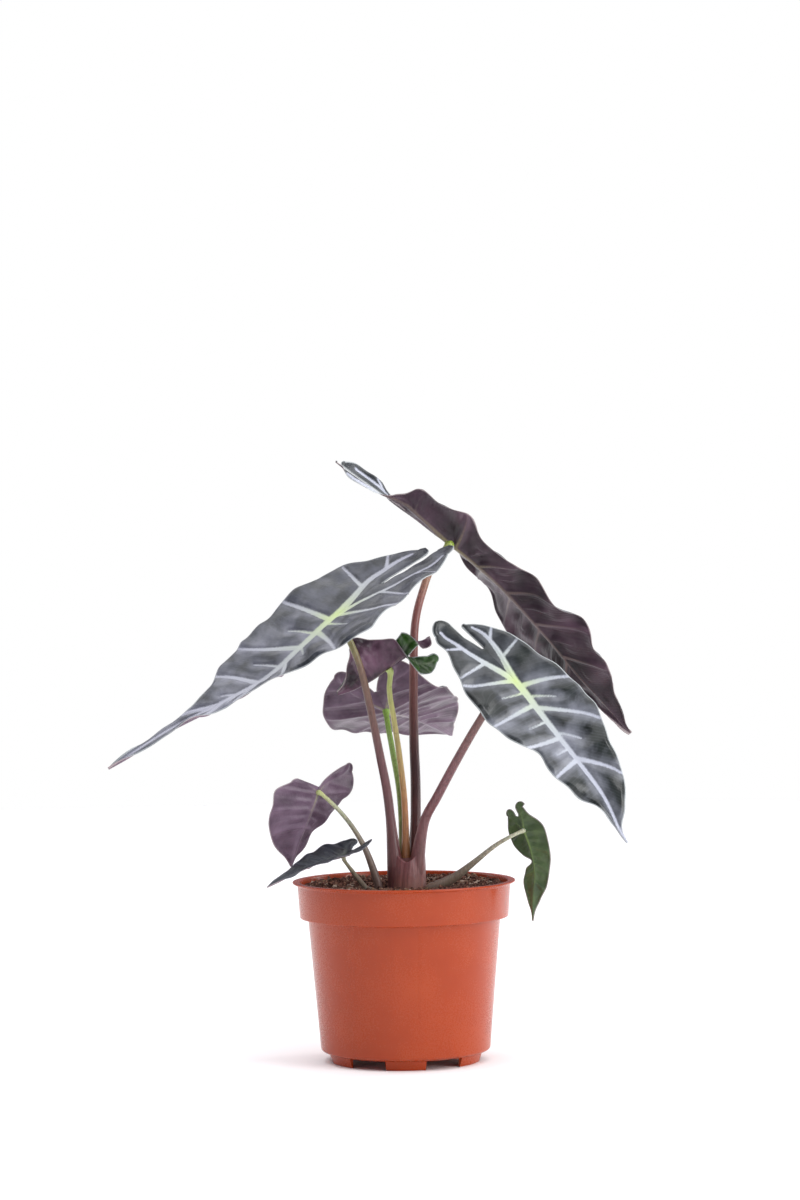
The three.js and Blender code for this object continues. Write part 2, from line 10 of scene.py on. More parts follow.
import bmesh
import bpy
import numpy as np
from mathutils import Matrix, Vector


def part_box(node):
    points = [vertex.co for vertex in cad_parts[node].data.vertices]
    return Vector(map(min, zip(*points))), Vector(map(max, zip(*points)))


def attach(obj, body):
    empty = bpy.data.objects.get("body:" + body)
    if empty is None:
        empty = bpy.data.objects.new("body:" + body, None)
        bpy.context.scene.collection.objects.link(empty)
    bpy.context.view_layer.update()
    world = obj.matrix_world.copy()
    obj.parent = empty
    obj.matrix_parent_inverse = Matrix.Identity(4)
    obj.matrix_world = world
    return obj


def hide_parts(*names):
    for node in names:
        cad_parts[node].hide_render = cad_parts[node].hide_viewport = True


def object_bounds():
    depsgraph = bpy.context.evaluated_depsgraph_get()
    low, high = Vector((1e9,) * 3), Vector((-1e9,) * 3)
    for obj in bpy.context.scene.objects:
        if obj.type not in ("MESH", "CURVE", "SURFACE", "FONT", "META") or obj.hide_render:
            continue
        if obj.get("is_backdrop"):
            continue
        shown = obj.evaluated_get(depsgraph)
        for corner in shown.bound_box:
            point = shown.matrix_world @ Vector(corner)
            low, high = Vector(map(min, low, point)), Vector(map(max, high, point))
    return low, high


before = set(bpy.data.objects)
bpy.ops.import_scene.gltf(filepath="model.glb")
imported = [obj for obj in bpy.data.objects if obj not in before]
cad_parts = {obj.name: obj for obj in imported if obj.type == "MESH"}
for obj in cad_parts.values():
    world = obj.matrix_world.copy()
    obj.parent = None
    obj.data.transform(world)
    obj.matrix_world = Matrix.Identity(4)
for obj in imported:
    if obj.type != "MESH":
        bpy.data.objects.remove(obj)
cad_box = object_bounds()
MM = 0.001
print("frame:", len(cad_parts), "nodes")

# %% [markdown]
# ## Where things are
# Every place comes from the frame. The pot's box gives the lip and the height, and the plant is
# measured from the soil, which lies a finger's width below the lip so that it can be watered.

# %% Driving sizes, in millimetres
pot_low, pot_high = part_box("pot")
LIP_RADIUS = (pot_high.x - pot_low.x) / 2 / MM
POT_HEIGHT = (pot_high.z - pot_low.z) / MM
HEADSPACE = 5.0
SOIL_LEVEL = POT_HEIGHT - HEADSPACE
print(f"lip radius {LIP_RADIUS:.1f}, pot {POT_HEIGHT:.1f} high, soil at {SOIL_LEVEL:.1f}")

# %% [markdown]
# ## The leaves as data
# An alocasia blade is an arrowhead: two lobes behind the stalk, a long tip before it. For each
# leaf we keep the spine in space, the outline of each half as [along, out] pairs, and how far each
# half is lifted and curled. Side veins are [along the spine, along the margin] pairs. Heights are
# above the soil.

# %% The four large leaves
LEFT, RIGHT = -1, 1
LEAVES = {
    "a": dict(
        spine=[
            (16, -2, 180), (-33.5, -26, 149), (-53, -36, 132), (-70, -44, 117), (-96, -52, 103),
            (-124, -58, 89), (-149, -62, 73)
        ],
        face=(-0.28, -0.5, 0.82),
        left=[
            (-74, 8), (-66, 15), (-58, 20), (-45, 27), (-30, 34), (-12, 34), (4, 42), (16, 40),
            (28, 26), (42, 15), (60, 8), (110, 5), (130, 3), (149, 0.6)
        ],
        right=[
            (-66, 6), (-60, 13), (-50, 15), (-38, 20), (-25, 30), (10, 32), (30, 33), (50, 29),
            (66, 28), (80, 16), (95, 7), (135, 2), (149, 0.6)
        ],
        notch=-30, lift={LEFT: (12, 12, 12), RIGHT: (12, 12, 12)}, wave=(1.5, 45),
        ruffle=(0.9, 23),
        veins={
            LEFT: [(1, -20), (15, 24), (40, 50), (60, 76), (80, 98)],
            RIGHT: [(5, 11), (28, 52), (58, 74), (84, 102)]
        },
        stalk=[
            (-4.2, -3.5), (-8, -8, 50.5), (-12, -12, 73.5), (-18, -18, 104.5), (-23, -23, 124.5)
        ],
        radii=(3.0, 1.7),
    ),
    "b": dict(
        spine=[
            (-32, 14, 229.5), (27.5, 22, 186.5), (52, 30, 166), (66, 34, 151.5), (83, 38, 132),
            (98, 42, 113.5), (113, 46, 97), (127, 48, 80)
        ],
        face=(0.45, 0.62, 0.62),
        left=[
            (-74, 2), (-66, 8), (-56, 10), (-44, 11), (-30, 16), (-20, 24), (-8, 27), (4, 20),
            (14, 20), (30, 25), (44, 28), (74, 30), (88, 26), (108, 18), (122, 9), (136, 3),
            (148, 0.6)
        ],
        right=[
            (-77, 1), (-68, 4), (-58, 3.5), (-50, 1.5), (-42, 3), (-37, 7), (-33, 14), (-27, 17),
            (-15, 23), (-5, 24), (8, 17), (25, 19), (56, 21), (76, 26), (92, 23), (108, 20),
            (120, 12), (132, 6), (148, 0.6)
        ],
        notch=-30, stations=(-76, -50, -40, 0, 148),
        lift={LEFT: (80, 72, 55, 42, -25), RIGHT: (-70, -50, 20, 6, 6)}, wave=(2.2, 38),
        ruffle=(2.0, 27), crumple=(1.3, 1.5),
        veins={
            LEFT: [(3, -10), (24, 32), (46, 62), (70, 88), (94, 112)],
            RIGHT: [(4, -4), (20, 34), (42, 60), (66, 86), (90, 110)]
        },
        stalk=[
            (6.4, 3), (7, 6, 57.5), (6.5, 7.5, 77.5), (6.6, 11, 112.5), (8, 14, 144),
            (12, 16, 160), (18, 17.5, 175)
        ],
        radii=(3.1, 2.0),
    ),
    "c": dict(
        spine=[
            (29.5, -26, 143.5), (60, -37, 113), (76, -47, 92), (92, -56, 71), (105, -62, 52.5),
            (113, -66, 35), (117.5, -67, 27.5)
        ],
        face=(0.15, -0.9, 0.42),
        left=[
            (-42, 2), (-38, 7), (-28, 13), (-15, 18), (0, 21), (20, 26), (38, 26), (55, 21),
            (75, 15), (88, 8), (97, 2), (106, 0.6)
        ],
        right=[
            (-52, 9), (-44, 16), (-36, 17), (-20, 24), (0, 29), (20, 27), (32, 23), (42, 15),
            (52, 18), (62, 16), (80, 9), (90, 4), (98, 1.5), (106, 0.6)
        ],
        notch=-24, lift={LEFT: (8, 8, 8), RIGHT: (8, 8, 8)}, wave=(1.0, 28), ruffle=(0.9, 17),
        veins={
            LEFT: [(4, 14), (19, 44), (54, 74)], RIGHT: [(0, -16), (17, 18), (40, 36), (55, 58)]
        },
        stalk=[
            (6.2, -4), (11.5, -6.5, 37), (18.5, -10, 50.5), (29.5, -17, 71), (41, -26, 91),
            (51, -32, 106)
        ],
        radii=(3.0, 2.0),
    ),
    "d": dict(
        spine=[(-20.5, 26, 119), (-8.5, 45, 95.5), (3, 66, 91), (15.5, 88, 85), (28, 112, 77.5)],
        face=(0, 0.45, 0.89),
        left=[
            (-34, 14), (-28, 22), (-14, 32), (0, 36), (20, 34), (40, 26), (60, 15), (74, 4),
            (80, 0.6)
        ],
        right=[
            (-34, 14), (-28, 22), (-14, 30), (0, 36), (20, 34), (40, 25), (60, 12), (74, 4),
            (80, 0.6)
        ],
        notch=-14, lift={LEFT: (-4, -4, -4), RIGHT: (8, 8, 8)}, wave=(1.0, 35), ruffle=(1.0, 21),
        veins={
            LEFT: [(2, -6), (14, 22), (30, 42), (46, 58)],
            RIGHT: [(2, -6), (14, 22), (30, 42), (46, 58)]
        },
        stalk=[(0.2, 5.8), (-1.5, 13, 50), (-5, 25, 72), (-7.5, 36, 86)], radii=(2.1, 1.5),
    ),
}
print("large leaves:", ", ".join(LEAVES))

# %% The four small leaves
LEAVES |= {
    "e": dict(
        spine=[
            (15, -2, 131), (-7, -5, 119.5), (-16, -7, 113.5), (-26, -9, 108.5), (-34, -10, 106)
        ],
        face=(-0.4, -0.1, 0.9),
        left=[
            (-27, 7), (-22, 12), (-16, 13), (-13, 10), (-9, 14), (0, 19), (5, 24), (12, 24),
            (20, 17), (27, 8), (31, 3)
        ],
        right=[
            (-27, 8), (-25, 15), (-20, 17), (-14, 14), (-8, 11), (-2, 12), (4, 19), (12, 17),
            (20, 11), (31, 2)
        ],
        notch=-12, stations=(-27, -20, -15, -10, 0, 31),
        lift={LEFT: (-75, -75, -72, 58, 66, 30), RIGHT: (100, 95, 80, 75, 66, 50)},
        curl={LEFT: (-2, -2, -2, 2, 2.5, 3), RIGHT: (10, 9, 3, 2.5, 2, 5)}, wave=(0.3, 20),
        ruffle=(1.5, 10), crumple=(1.2, 0.5),
        veins={LEFT: [(2, -4), (10, 14)], RIGHT: [(2, -4), (10, 14)]},
        stalk=[(1.2, 0), (1, -1.5, 45), (-1.5, -3, 72), (-4, -4, 90), (-6.5, -5, 108)],
        radii=(2.0, 1.4),
    ),
    "f": dict(
        spine=[
            (-43.5, -14, 63), (-45.5, -16, 54), (-50.5, -15, 41), (-56.5, -10, 27), (-61, -2, 11)
        ],
        face=(-0.5, 0.75, 0.4),
        left=[(-4, 14), (0, 19), (6, 24), (14, 23), (24, 20), (32, 14), (39, 6), (46, 0.6)],
        right=[(-22, 22), (-14, 28), (-4, 25), (8, 17), (20, 12), (32, 6), (46, 0.6)],
        notch=-3, lift={LEFT: (10, 10, 10), RIGHT: (10, 10, 10)}, wave=(0.6, 20), ruffle=(0.8, 14),
        veins={LEFT: [(1, 4), (10, 16), (20, 28)], RIGHT: [(1, -8), (10, 14), (20, 26)]},
        stalk=[
            (-13.6, -1.5, -6), (-13.6, -2, 2), (-15.5, -3, 8.5), (-20.5, -6, 22.5),
            (-27, -10, 34.5), (-35, -15, 45)
        ],
        radii=(1.9, 1.0),
    ),
    "g": dict(
        spine=[
            (-22, -20, 26.5), (-32, -28, 21), (-44, -36, 18.5), (-58.5, -44, 13), (-72, -50, 6.5)
        ],
        face=(-0.35, -0.35, 0.87),
        left=[(-16, 6.5), (-9, 12), (0, 12), (12, 11), (24, 8), (36, 4), (48, 0.6)],
        right=[(-15, 6), (-8, 13), (2, 15), (12, 12), (24, 8), (36, 4), (48, 0.6)],
        notch=-6, lift={LEFT: (15, 15, 15), RIGHT: (15, 15, 15)}, wave=(0.5, 20), ruffle=(0.3, 9),
        veins={LEFT: [(1, 3), (10, 16), (20, 27)], RIGHT: [(1, 3), (10, 16), (20, 27)]},
        stalk=[(-18, -9, -6), (-20.5, -11, 2), (-24, -16, 7), (-28, -22, 13)], radii=(1.4, 0.8),
    ),
    "h": dict(
        spine=[
            (LIP_RADIUS - 1.5, -22, 45.5), (LIP_RADIUS + 4.5, -24, 33),
            (LIP_RADIUS + 8.5, -25, 21), (LIP_RADIUS + 10, -25, 10.5), (LIP_RADIUS + 9, -23, -2),
            (LIP_RADIUS + 8.5, -20, -17)
        ],
        face=(0.5, 0.8, 0.25),
        left=[
            (-14, 4), (-9, 8), (0, 12), (8, 10), (13, 7), (17, 1.5), (21, 6), (28, 8), (36, 5),
            (44, 2), (50, 0.6)
        ],
        right=[
            (-15, 4), (-8, 7), (2, 11), (12, 11), (20, 9), (30, 7), (38, 4), (44, 1.5), (50, 0.6)
        ],
        notch=-8, lift={LEFT: (8, 8, 8), RIGHT: (8, 8, 8)}, wave=(0.5, 20), ruffle=(0.4, 11),
        veins={LEFT: [(1, 4), (22, 27)], RIGHT: [(1, 4), (9, 14), (18, 23), (28, 32)]},
        stalk=[
            (14, -6, -6), (17.5, -8, 2), (27, -11, 7), (LIP_RADIUS - 23.5, -15, 14.5),
            (LIP_RADIUS - 11.5, -21, 24.5), (LIP_RADIUS - 3, -27, 30)
        ],
        radii=(2.4, 0.9),
    ),
}
print("all leaves:", ", ".join(LEAVES))

# %% [markdown]
# ## Bending a flat leaf
# The spine is measured by its length, 0 where the stalk meets the blade. At each place along it we
# build three axes: along the spine, out to the right, and up out of the upper face. A point of
# the blade is then the spine plus so much "out" and "up", turned by the half's lift and curl.
# Spines and outlines are given by a few points each, so we first need a smooth line through them.

# %% Smooth lines


def unit(vectors):
    return vectors / np.maximum(np.linalg.norm(vectors, axis=-1, keepdims=True), 1e-9)


def smooth_line(points, per_span=24):
    """A smooth curve through a few points (centripetal, so that it never loops or overshoots)."""
    p = np.asarray(points, float)
    padded = np.vstack([2 * p[0] - p[1], p, 2 * p[-1] - p[-2]])
    out = []
    for a, b, c, d in zip(padded, padded[1:], padded[2:], padded[3:]):
        k0, k1, k2 = (max(np.linalg.norm(v) ** 0.5, 1e-4) for v in (b - a, c - b, d - c))
        m1 = ((b - a) / k0 - (c - a) / (k0 + k1) + (c - b) / k1) * k1
        m2 = ((c - b) / k1 - (d - b) / (k1 + k2) + (d - c) / k2) * k1
        t = np.arange(per_span)[:, None] / per_span
        h = (2 * t**3 - 3 * t**2 + 1) * b + (t**3 - 2 * t**2 + t) * m1
        out.append(h + (3 * t**2 - 2 * t**3) * c + (t**3 - t**2) * m2)
    out.append(p[-1:])
    return np.vstack(out)


print("a smooth line through 3 points:", len(smooth_line([(0, 0, 0), (1, 1, 0), (2, 0, 0)])))

# %% The blade's coordinates
PER_SPAN = 24


class Blade:
    """A leaf's shape: turns along and out, in millimetres, into places and distances."""

    def __init__(self, leaf):
        self.leaf = leaf
        self.line = smooth_line(leaf["spine"], PER_SPAN) + (0, 0, SOIL_LEVEL)
        steps = np.linalg.norm(np.diff(self.line, axis=0), axis=1)
        self.marks = np.concatenate([[0], np.cumsum(steps)])
        self.marks -= self.marks[PER_SPAN]
        self.stations = leaf.get("stations", (self.marks[0], 0, self.marks[-1]))
        self.outline = {}
        for side, name in ((LEFT, "left"), (RIGHT, "right")):
            self.outline[side] = smooth_line([(s, x, 0) for s, x in leaf[name]], 12)[:, :2]

    def spine(self, s):
        s = np.asarray(s, float)
        place = np.stack([np.interp(s, self.marks, self.line[:, k]) for k in range(3)], -1)
        first = unit(self.line[1] - self.line[0])
        last = unit(self.line[-1] - self.line[-2])
        place = place + np.minimum(s - self.marks[0], 0)[..., None] * first
        return place + np.maximum(s - self.marks[-1], 0)[..., None] * last

    def axes(self, s):
        along = unit(self.spine(s + 2.0) - self.spine(s - 2.0))
        right = unit(np.cross(along, np.array(self.leaf["face"], float)))
        return along, right, np.cross(right, along)

    def ends(self, side):
        return self.outline[side][0, 0], self.outline[side][-1, 0]

    def width(self, side, s):
        return np.maximum(np.interp(s, self.outline[side][:, 0], self.outline[side][:, 1]), 0.3)

    def inner(self, side, s):
        """The edge of the notch between the lobes."""
        start = self.ends(side)[0]
        t = np.clip((self.leaf["notch"] - s) / (self.leaf["notch"] - start), 0, 1)
        edge = 2 * np.sqrt(t) * (1 - t) + self.outline[side][0, 1] * t**1.6
        return np.minimum(edge, self.width(side, s))

    def at(self, side, x, s):
        """Where the point x out and s along lies in space."""
        _, right, up = self.axes(s)
        lift = np.radians(np.interp(s, self.stations, self.leaf["lift"][side]))
        bends = self.leaf.get("curl", {}).get(side, [0] * len(self.stations))
        curl = np.radians(np.interp(s, self.stations, bends))
        curl = np.where(np.abs(curl) < 1e-5, 1e-5, curl)
        out = (np.sin(lift + curl * x) - np.sin(lift)) / curl
        rise = (np.cos(lift) - np.cos(lift + curl * x)) / curl
        height, length = self.leaf["wave"]
        reach = np.minimum(x / self.width(side, s), 1)
        phase = 0 if side == LEFT else 1
        rise = rise + height * np.sin(2 * np.pi * s / length + phase) * reach**2
        return self.spine(s) + (side * out)[..., None] * right + rise[..., None] * up


for leaf_name, leaf in LEAVES.items():
    print("blade", leaf_name, f"{Blade(leaf).marks[-1]:.0f} mm from stalk to tip")

# %% [markdown]
# ## Veins
# The thick midrib runs to the tip, a rib runs into each lobe, and side veins leave them at a slant
# and bend forwards near the margin. We keep each vein as a line in the flat leaf with a width that
# tapers, so the distance from any point to its nearest vein is a plain calculation.

# %% Vein lines
VEIN_STEPS = 14


def ease(x, low, high):
    """0 below low, 1 above high, and smooth between."""
    t = np.clip((x - low) / (high - low), 0, 1)
    return t * t * (3 - 2 * t)


def vein_lines(blade, side):
    """The veins of one half: each as flat points [out, along] and half widths."""
    leaf = blade.leaf
    start, end = blade.ends(side)
    size = (end / 106) ** 0.6
    t = np.linspace(0, 1, VEIN_STEPS)
    lines = [(np.stack([0 * t, t * end], 1), size * (1.9 - 1.5 * t**0.8))]
    lobe_s = t * (start + 0.12 * abs(start))
    middle = (blade.inner(side, lobe_s) + blade.width(side, lobe_s)) / 2
    lobe = np.stack([middle * ease(t, -0.1, 0.95), lobe_s], 1)
    lines.append((lobe, size * (1.7 - 1.2 * t)))
    mains = leaf["veins"][side]
    between = [((a0 + b0) / 2, (a1 + b1) / 2) for (a0, a1), (b0, b1) in zip(mains, mains[1:])]
    for pairs, far, half in ((mains, 0.97, 1.2), (between, 0.45, 0.55)):
        for s0, s1 in pairs:
            reach = far * float(blade.width(side, np.array(s1)))
            s = s0 + far * (s1 - s0) * (0.8 * t + 0.2 * t**3)
            lines.append((np.stack([reach * t, s], 1), size * half * (1 - 0.62 * t)))
    for part, back in ((0.45, 0.12), (0.72, 0.16)):
        i = int(part * (VEIN_STEPS - 1))
        s0, s1 = lobe[i, 1], lobe[i, 1] * (1 + back)
        reach = float(blade.width(side, np.array(s1)))
        x = lobe[i, 0] + (0.95 * reach - lobe[i, 0]) * t
        lines.append((np.stack([x, s0 + (s1 - s0) * t], 1), size * (0.8 - 0.5 * t)))
    return lines


print("lines in one half of leaf a:", len(vein_lines(Blade(LEAVES["a"]), LEFT)))

# %% Distance to a vein


def vein_distance(lines, x, s):
    """Millimetres from each point to the edge of its nearest vein, negative on the vein."""
    nearest = np.full(x.shape, 1e3)
    for line, half in lines:
        for (ax, ay), (bx, by), ha, hb in zip(line, line[1:], half, half[1:]):
            dx, dy = bx - ax, by - ay
            t = np.clip(((x - ax) * dx + (s - ay) * dy) / (dx * dx + dy * dy + 1e-9), 0, 1)
            gap = np.hypot(x - ax - t * dx, s - ay - t * dy) - (ha + (hb - ha) * t)
            nearest = np.minimum(nearest, gap)
    return nearest


def fan_lines(blade, side, x, s):
    """Which place on the spine a fine vein through each point starts from."""
    pairs = sorted(blade.leaf["veins"][side])
    starts = [p[0] for p in pairs]
    slopes = [(s1 - s0) / float(blade.width(side, np.array(s1))) for s0, s1 in pairs]
    origin = s.copy()
    for _ in range(4):
        origin = s - x * np.interp(origin, starts, slopes)
    return origin


apart = vein_distance([(np.array([[0, 0], [0, 9]]), (1, 1))], np.array([3.0]), np.array([5.0]))
print("3 mm out from a vein 1 mm in half width:", apart[0], "mm to its edge")

# %% [markdown]
# ## Leaf surfaces
# A real blade is thinnest at its margin. The veins lie in shallow grooves above and stand up as
# ribs below, and the skin between them swells a little, which catches the light in soft patches.
# So the upper and the lower skin are two grids that meet at the margin.

# %% Rows and margins of one half
GRID_STEP = 0.6
LOBE_ROUNDING = 6.0


def along_marks(blade, side):
    """Places along one half: closer together at the lobe's end, the notch and the tip."""
    start, end = blade.ends(side)
    notch = blade.leaf["notch"]
    lobe_rows = max(8, int(abs(notch - start) / GRID_STEP * 1.3))
    blade_rows = max(20, int((end - notch) / GRID_STEP))
    lobe = notch + (start - notch) * np.cos(np.linspace(0, np.pi / 2, lobe_rows, False))
    rest = notch + (end - notch) * np.sin(np.linspace(0, np.pi / 2, blade_rows + 1))
    return np.concatenate([lobe, rest])


def half_edges(blade, side, marks, size):
    """The notch and the margin of one half: a little uneven, and round at the lobe's end."""
    inner, width = blade.inner(side, marks), blade.width(side, marks)
    nibble = 0.25 * np.sin(marks / 2.3 + side) + 0.2 * np.sin(marks / 5.1)
    width = width + nibble * ease(width, 2, 8)
    lobe_end = blade.outline[side][0, 1]
    round_off = min(LOBE_ROUNDING * size, 0.8 * lobe_end)
    past = np.clip((marks - marks[0]) / round_off, 0, 1)
    opening = round_off * np.sqrt(2 * past - past**2)
    inner = np.minimum(inner, np.maximum(lobe_end - opening, 0))
    width = np.where(past < 1, np.maximum(width, lobe_end + opening), width)
    inner[0] = width[0] = lobe_end
    return inner, width


def margin_distance(blade, x, s, inner, width, marks):
    """Millimetres from each point to the nearest edge of its half."""
    slope = np.hypot(1, np.gradient(width, marks))[:, None]
    margin = (width[:, None] - x) / slope
    notch = (x - inner[:, None]) + 50 * (s >= blade.leaf["notch"])
    return np.minimum(margin, notch / slope)


print("rows in one half of leaf a:", len(along_marks(Blade(LEAVES["a"]), LEFT)))

# %% Relief of the skin
QUILT = 1.7
GROOVE = 0.35


def quilting(vein, size):
    """The skin swells between the veins and dips into a groove along each."""
    swell = size * QUILT * (1 - np.exp(-np.maximum(vein, 0) / (6 * size)))
    return swell - GROOVE * size * np.exp(-((np.minimum(vein, 0) - vein.clip(0)) ** 2))


def crinkles(leaf, x, s, size):
    """Irregular bumps a few millimetres across."""
    crumple, spread = leaf.get("crumple", (0.35, 1.0))
    a, b = s / spread, x / spread
    return crumple * size * np.sin(a / 3.1 + b / 4.7) * np.sin(b / 3.3 - a / 6.1)


def ruffles(leaf, side, x, s, width):
    """Two waves of different length that grow towards the margin."""
    reach = x / np.maximum(width, 1)[:, None]
    height, length = leaf.get("ruffle", (0.5, 17))
    short_wave = np.sin(2 * np.pi * s / length + 1.7 * np.sin(x / 9) + side)
    long_wave = np.sin(2 * np.pi * s / (1.63 * length) + 2.1 - side)
    return height * (0.65 * short_wave + 0.45 * long_wave) * reach**1.5


depths = quilting(np.array([-1.0, 0.0, 12.0]), 1.0)
print("on a vein, at its edge and well away:", *(f"{v:.2f}" for v in depths), "mm")

# %% Both skins of one half
SKIN = 0.5
RIB = 0.9
MARGIN_FADE = 2.5


def skin_normals(blade, side, place, marks):
    """Which way each point's upper face looks."""
    across = np.gradient(place, axis=1)
    down = np.gradient(place, axis=0)
    normal = unit(side * np.cross(across, down))
    up = blade.axes(marks)[2]
    normal[:, 0] = np.where((marks >= blade.leaf["notch"])[:, None], up, normal[:, 0])
    return normal


def half_surface(blade, side, columns):
    """Both skins of one half, with the numbers the materials need."""
    marks = along_marks(blade, side)
    v = np.sin(np.linspace(0, np.pi / 2, columns)) * 0.5 + np.linspace(0, 1, columns) * 0.5
    size = min((blade.ends(side)[1] / 106) ** 0.6, 1.2)
    inner, width = half_edges(blade, side, marks, size)
    x = inner[:, None] + (width - inner)[:, None] * v
    s = np.repeat(marks[:, None], columns, 1)
    vein = vein_distance(vein_lines(blade, side), x, s)
    margin = margin_distance(blade, x, s, inner, width, marks)
    place = blade.at(side, x, s)
    normal = skin_normals(blade, side, place, marks)
    fade = ease(margin, 0, MARGIN_FADE)
    bumps = quilting(vein, size) + crinkles(blade.leaf, x, s, size) * ease(vein, 0, 4)
    relief = bumps * fade + ruffles(blade.leaf, side, x, s, width) * ease(x, 0, 4)
    middle = place + relief[..., None] * normal
    rib = size * RIB * np.exp(-((vein + 1.0).clip(0) ** 2) * 1.2) * fade
    half_skin = SKIN / 2 * np.sqrt(np.clip(margin / 0.8, 0, 1))
    upper = middle + half_skin[..., None] * normal
    lower = middle - (half_skin + rib)[..., None] * normal
    heart = np.exp(-np.hypot(2.4 * x, np.maximum(s, -s * 1.6)) / (17 * size))
    numbers = dict(vein=vein, margin=margin, heart=heart, fan=fan_lines(blade, side, x, s))
    return upper, lower, numbers


print("one half of leaf g:", half_surface(Blade(LEAVES["g"]), LEFT, 20)[0].shape[:2], "points")

# %% [markdown]
# ## Meshes from arrays
# A piece is made from arrays of points and faces, because numpy moves a whole leaf at once where
# modelling tools move it vertex by vertex. Extra numbers, such as the distance to the nearest
# vein, are stored on the points, and the materials read them back.

# %% Make a piece


def make_piece(name, points, faces, materials, values=None, face_materials=None):
    """A smooth mesh piece, in millimetres, that rides on the plant's one body."""
    mesh = bpy.data.meshes.new(name)
    mesh.from_pydata((np.asarray(points) * MM).tolist(), [], [list(map(int, f)) for f in faces])
    for key, numbers in (values or {}).items():
        layer = mesh.attributes.new(key, "FLOAT", "POINT")
        layer.data.foreach_set("value", np.asarray(numbers, np.float32))
    for material in materials:
        mesh.materials.append(material)
    if face_materials is not None:
        mesh.polygons.foreach_set("material_index", np.asarray(face_materials, np.int32))
    mesh.polygons.foreach_set("use_smooth", np.ones(len(faces), bool))
    mesh.update()
    piece = bpy.data.objects.new(name, mesh)
    bpy.context.scene.collection.objects.link(piece)
    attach(piece, "root")
    return piece


def grid_faces(rows, columns, first=0, closed=False, flip=False):
    """Quads between the rows of a grid of points; closed joins the last column to the first."""
    across = columns if closed else columns - 1
    i, j = np.meshgrid(np.arange(rows - 1), np.arange(across), indexing="ij")
    a = (i * columns + j).ravel()
    b = (i * columns + (j + 1) % columns).ravel()
    quads = np.stack([a, b, b + columns, a + columns], 1) + first
    return quads[:, ::-1] if flip else quads


def weld(piece, distance=0.004):
    """Joins points that lie together, and drops the empty faces this leaves."""
    work = bmesh.new()
    work.from_mesh(piece.data)
    bmesh.ops.remove_doubles(work, verts=work.verts, dist=distance * MM)
    bmesh.ops.dissolve_degenerate(work, edges=work.edges, dist=distance * MM / 4)
    work.to_mesh(piece.data)
    work.free()


print("faces in a 3 by 4 grid of points:", len(grid_faces(3, 4)))

# %% [markdown]
# ## Colour and nodes
# Colours are written as the hex values seen on screen, and one function turns them to linear
# light, which is what shaders work in. One function adds a node, sets it and links it. A noise
# pattern's scale says how many of its patches fit in a metre, so we work it out from the size of
# one patch in millimetres.

# %% Colours and pattern sizes


def linear(hex_colour):
    """An sRGB hex colour as linear RGBA."""
    channels = [int(hex_colour[i : i + 2], 16) / 255 for i in (1, 3, 5)]
    return [c / 12.92 if c <= 0.04045 else ((c + 0.055) / 1.055) ** 2.4 for c in channels] + [1.0]


def patches_of(size):
    """The noise scale whose patches are this many millimetres across."""
    return 1 / (size * MM)


print("mid grey in linear light:", f"{linear('#808080')[0]:.3f}")

# %% Nodes and materials


def fill(tree, node, inputs):
    """Sets inputs to values or hex colours, or links them to sockets or nodes' first outputs."""
    for name, value in inputs.items():
        if isinstance(value, str):
            value = linear(value)
        if isinstance(value, bpy.types.Node):
            value = next(o for o in value.outputs if o.enabled)
        if isinstance(value, bpy.types.NodeSocket):
            tree.links.new(value, node.inputs[name])
        else:
            node.inputs[name].default_value = value


def add(tree, kind, inputs=None, stops=None, **settings):
    """Adds a node, sets its properties and colour stops, and fills or links its inputs."""
    node = tree.nodes.new("ShaderNode" + kind)
    for name, value in settings.items():
        setattr(node, name, value)
    fill(tree, node, inputs or {})
    if stops:
        ramp = node.color_ramp.elements
        while len(ramp) < len(stops):
            ramp.new(0.5)
        for element, (position, colour) in zip(ramp, stops):
            element.position = position
            element.color = linear(colour)
    return node


def start_material(name, **uniform):
    """A material with its main shader, whose sockets take the uniform values, and its place."""
    material = bpy.data.materials.new(name)
    material.use_nodes = True
    tree = material.node_tree
    shader = tree.nodes["Principled BSDF"]
    for socket, value in uniform.items():
        shader.inputs[socket.replace("_", " ")].default_value = value
    return material, tree, shader, add(tree, "TexCoord").outputs["Object"]


trial, trial_nodes = start_material("trial")[:2]
print("a new material starts with", len(trial_nodes.nodes), "nodes")
bpy.data.materials.remove(trial)

# %% [markdown]
# ## Leaf skins
# The upper skin is a waxed cuticle over dark green: fairly smooth, so it shines, with broad veins
# where air under the skin scatters light and looks silver. Soft pale patches over it are painted
# glints and sheen. The lower skin is dull mauve, with painted shade in the hollows between its
# ribs. Its fine detail is drawn slightly coarser than life, about a millimetre, so that it shows.

# %% Upper skin
LEAF_MOTTLE = 7.143
LEAF_PORES = 1.111
# Size in millimetres of the patches of painted glints.
GLINT_PATCH_SIZE = 16.667
FINE_VEIN_SPACING = 2.2


def leaf_numbers(tree):
    """The numbers kept on a blade's points: distances from vein and margin, heart and fan."""
    nodes = [add(tree, "Attribute", attribute_name=k) for k in ("vein", "margin", "heart", "fan")]
    return [node.outputs["Fac"] for node in nodes]


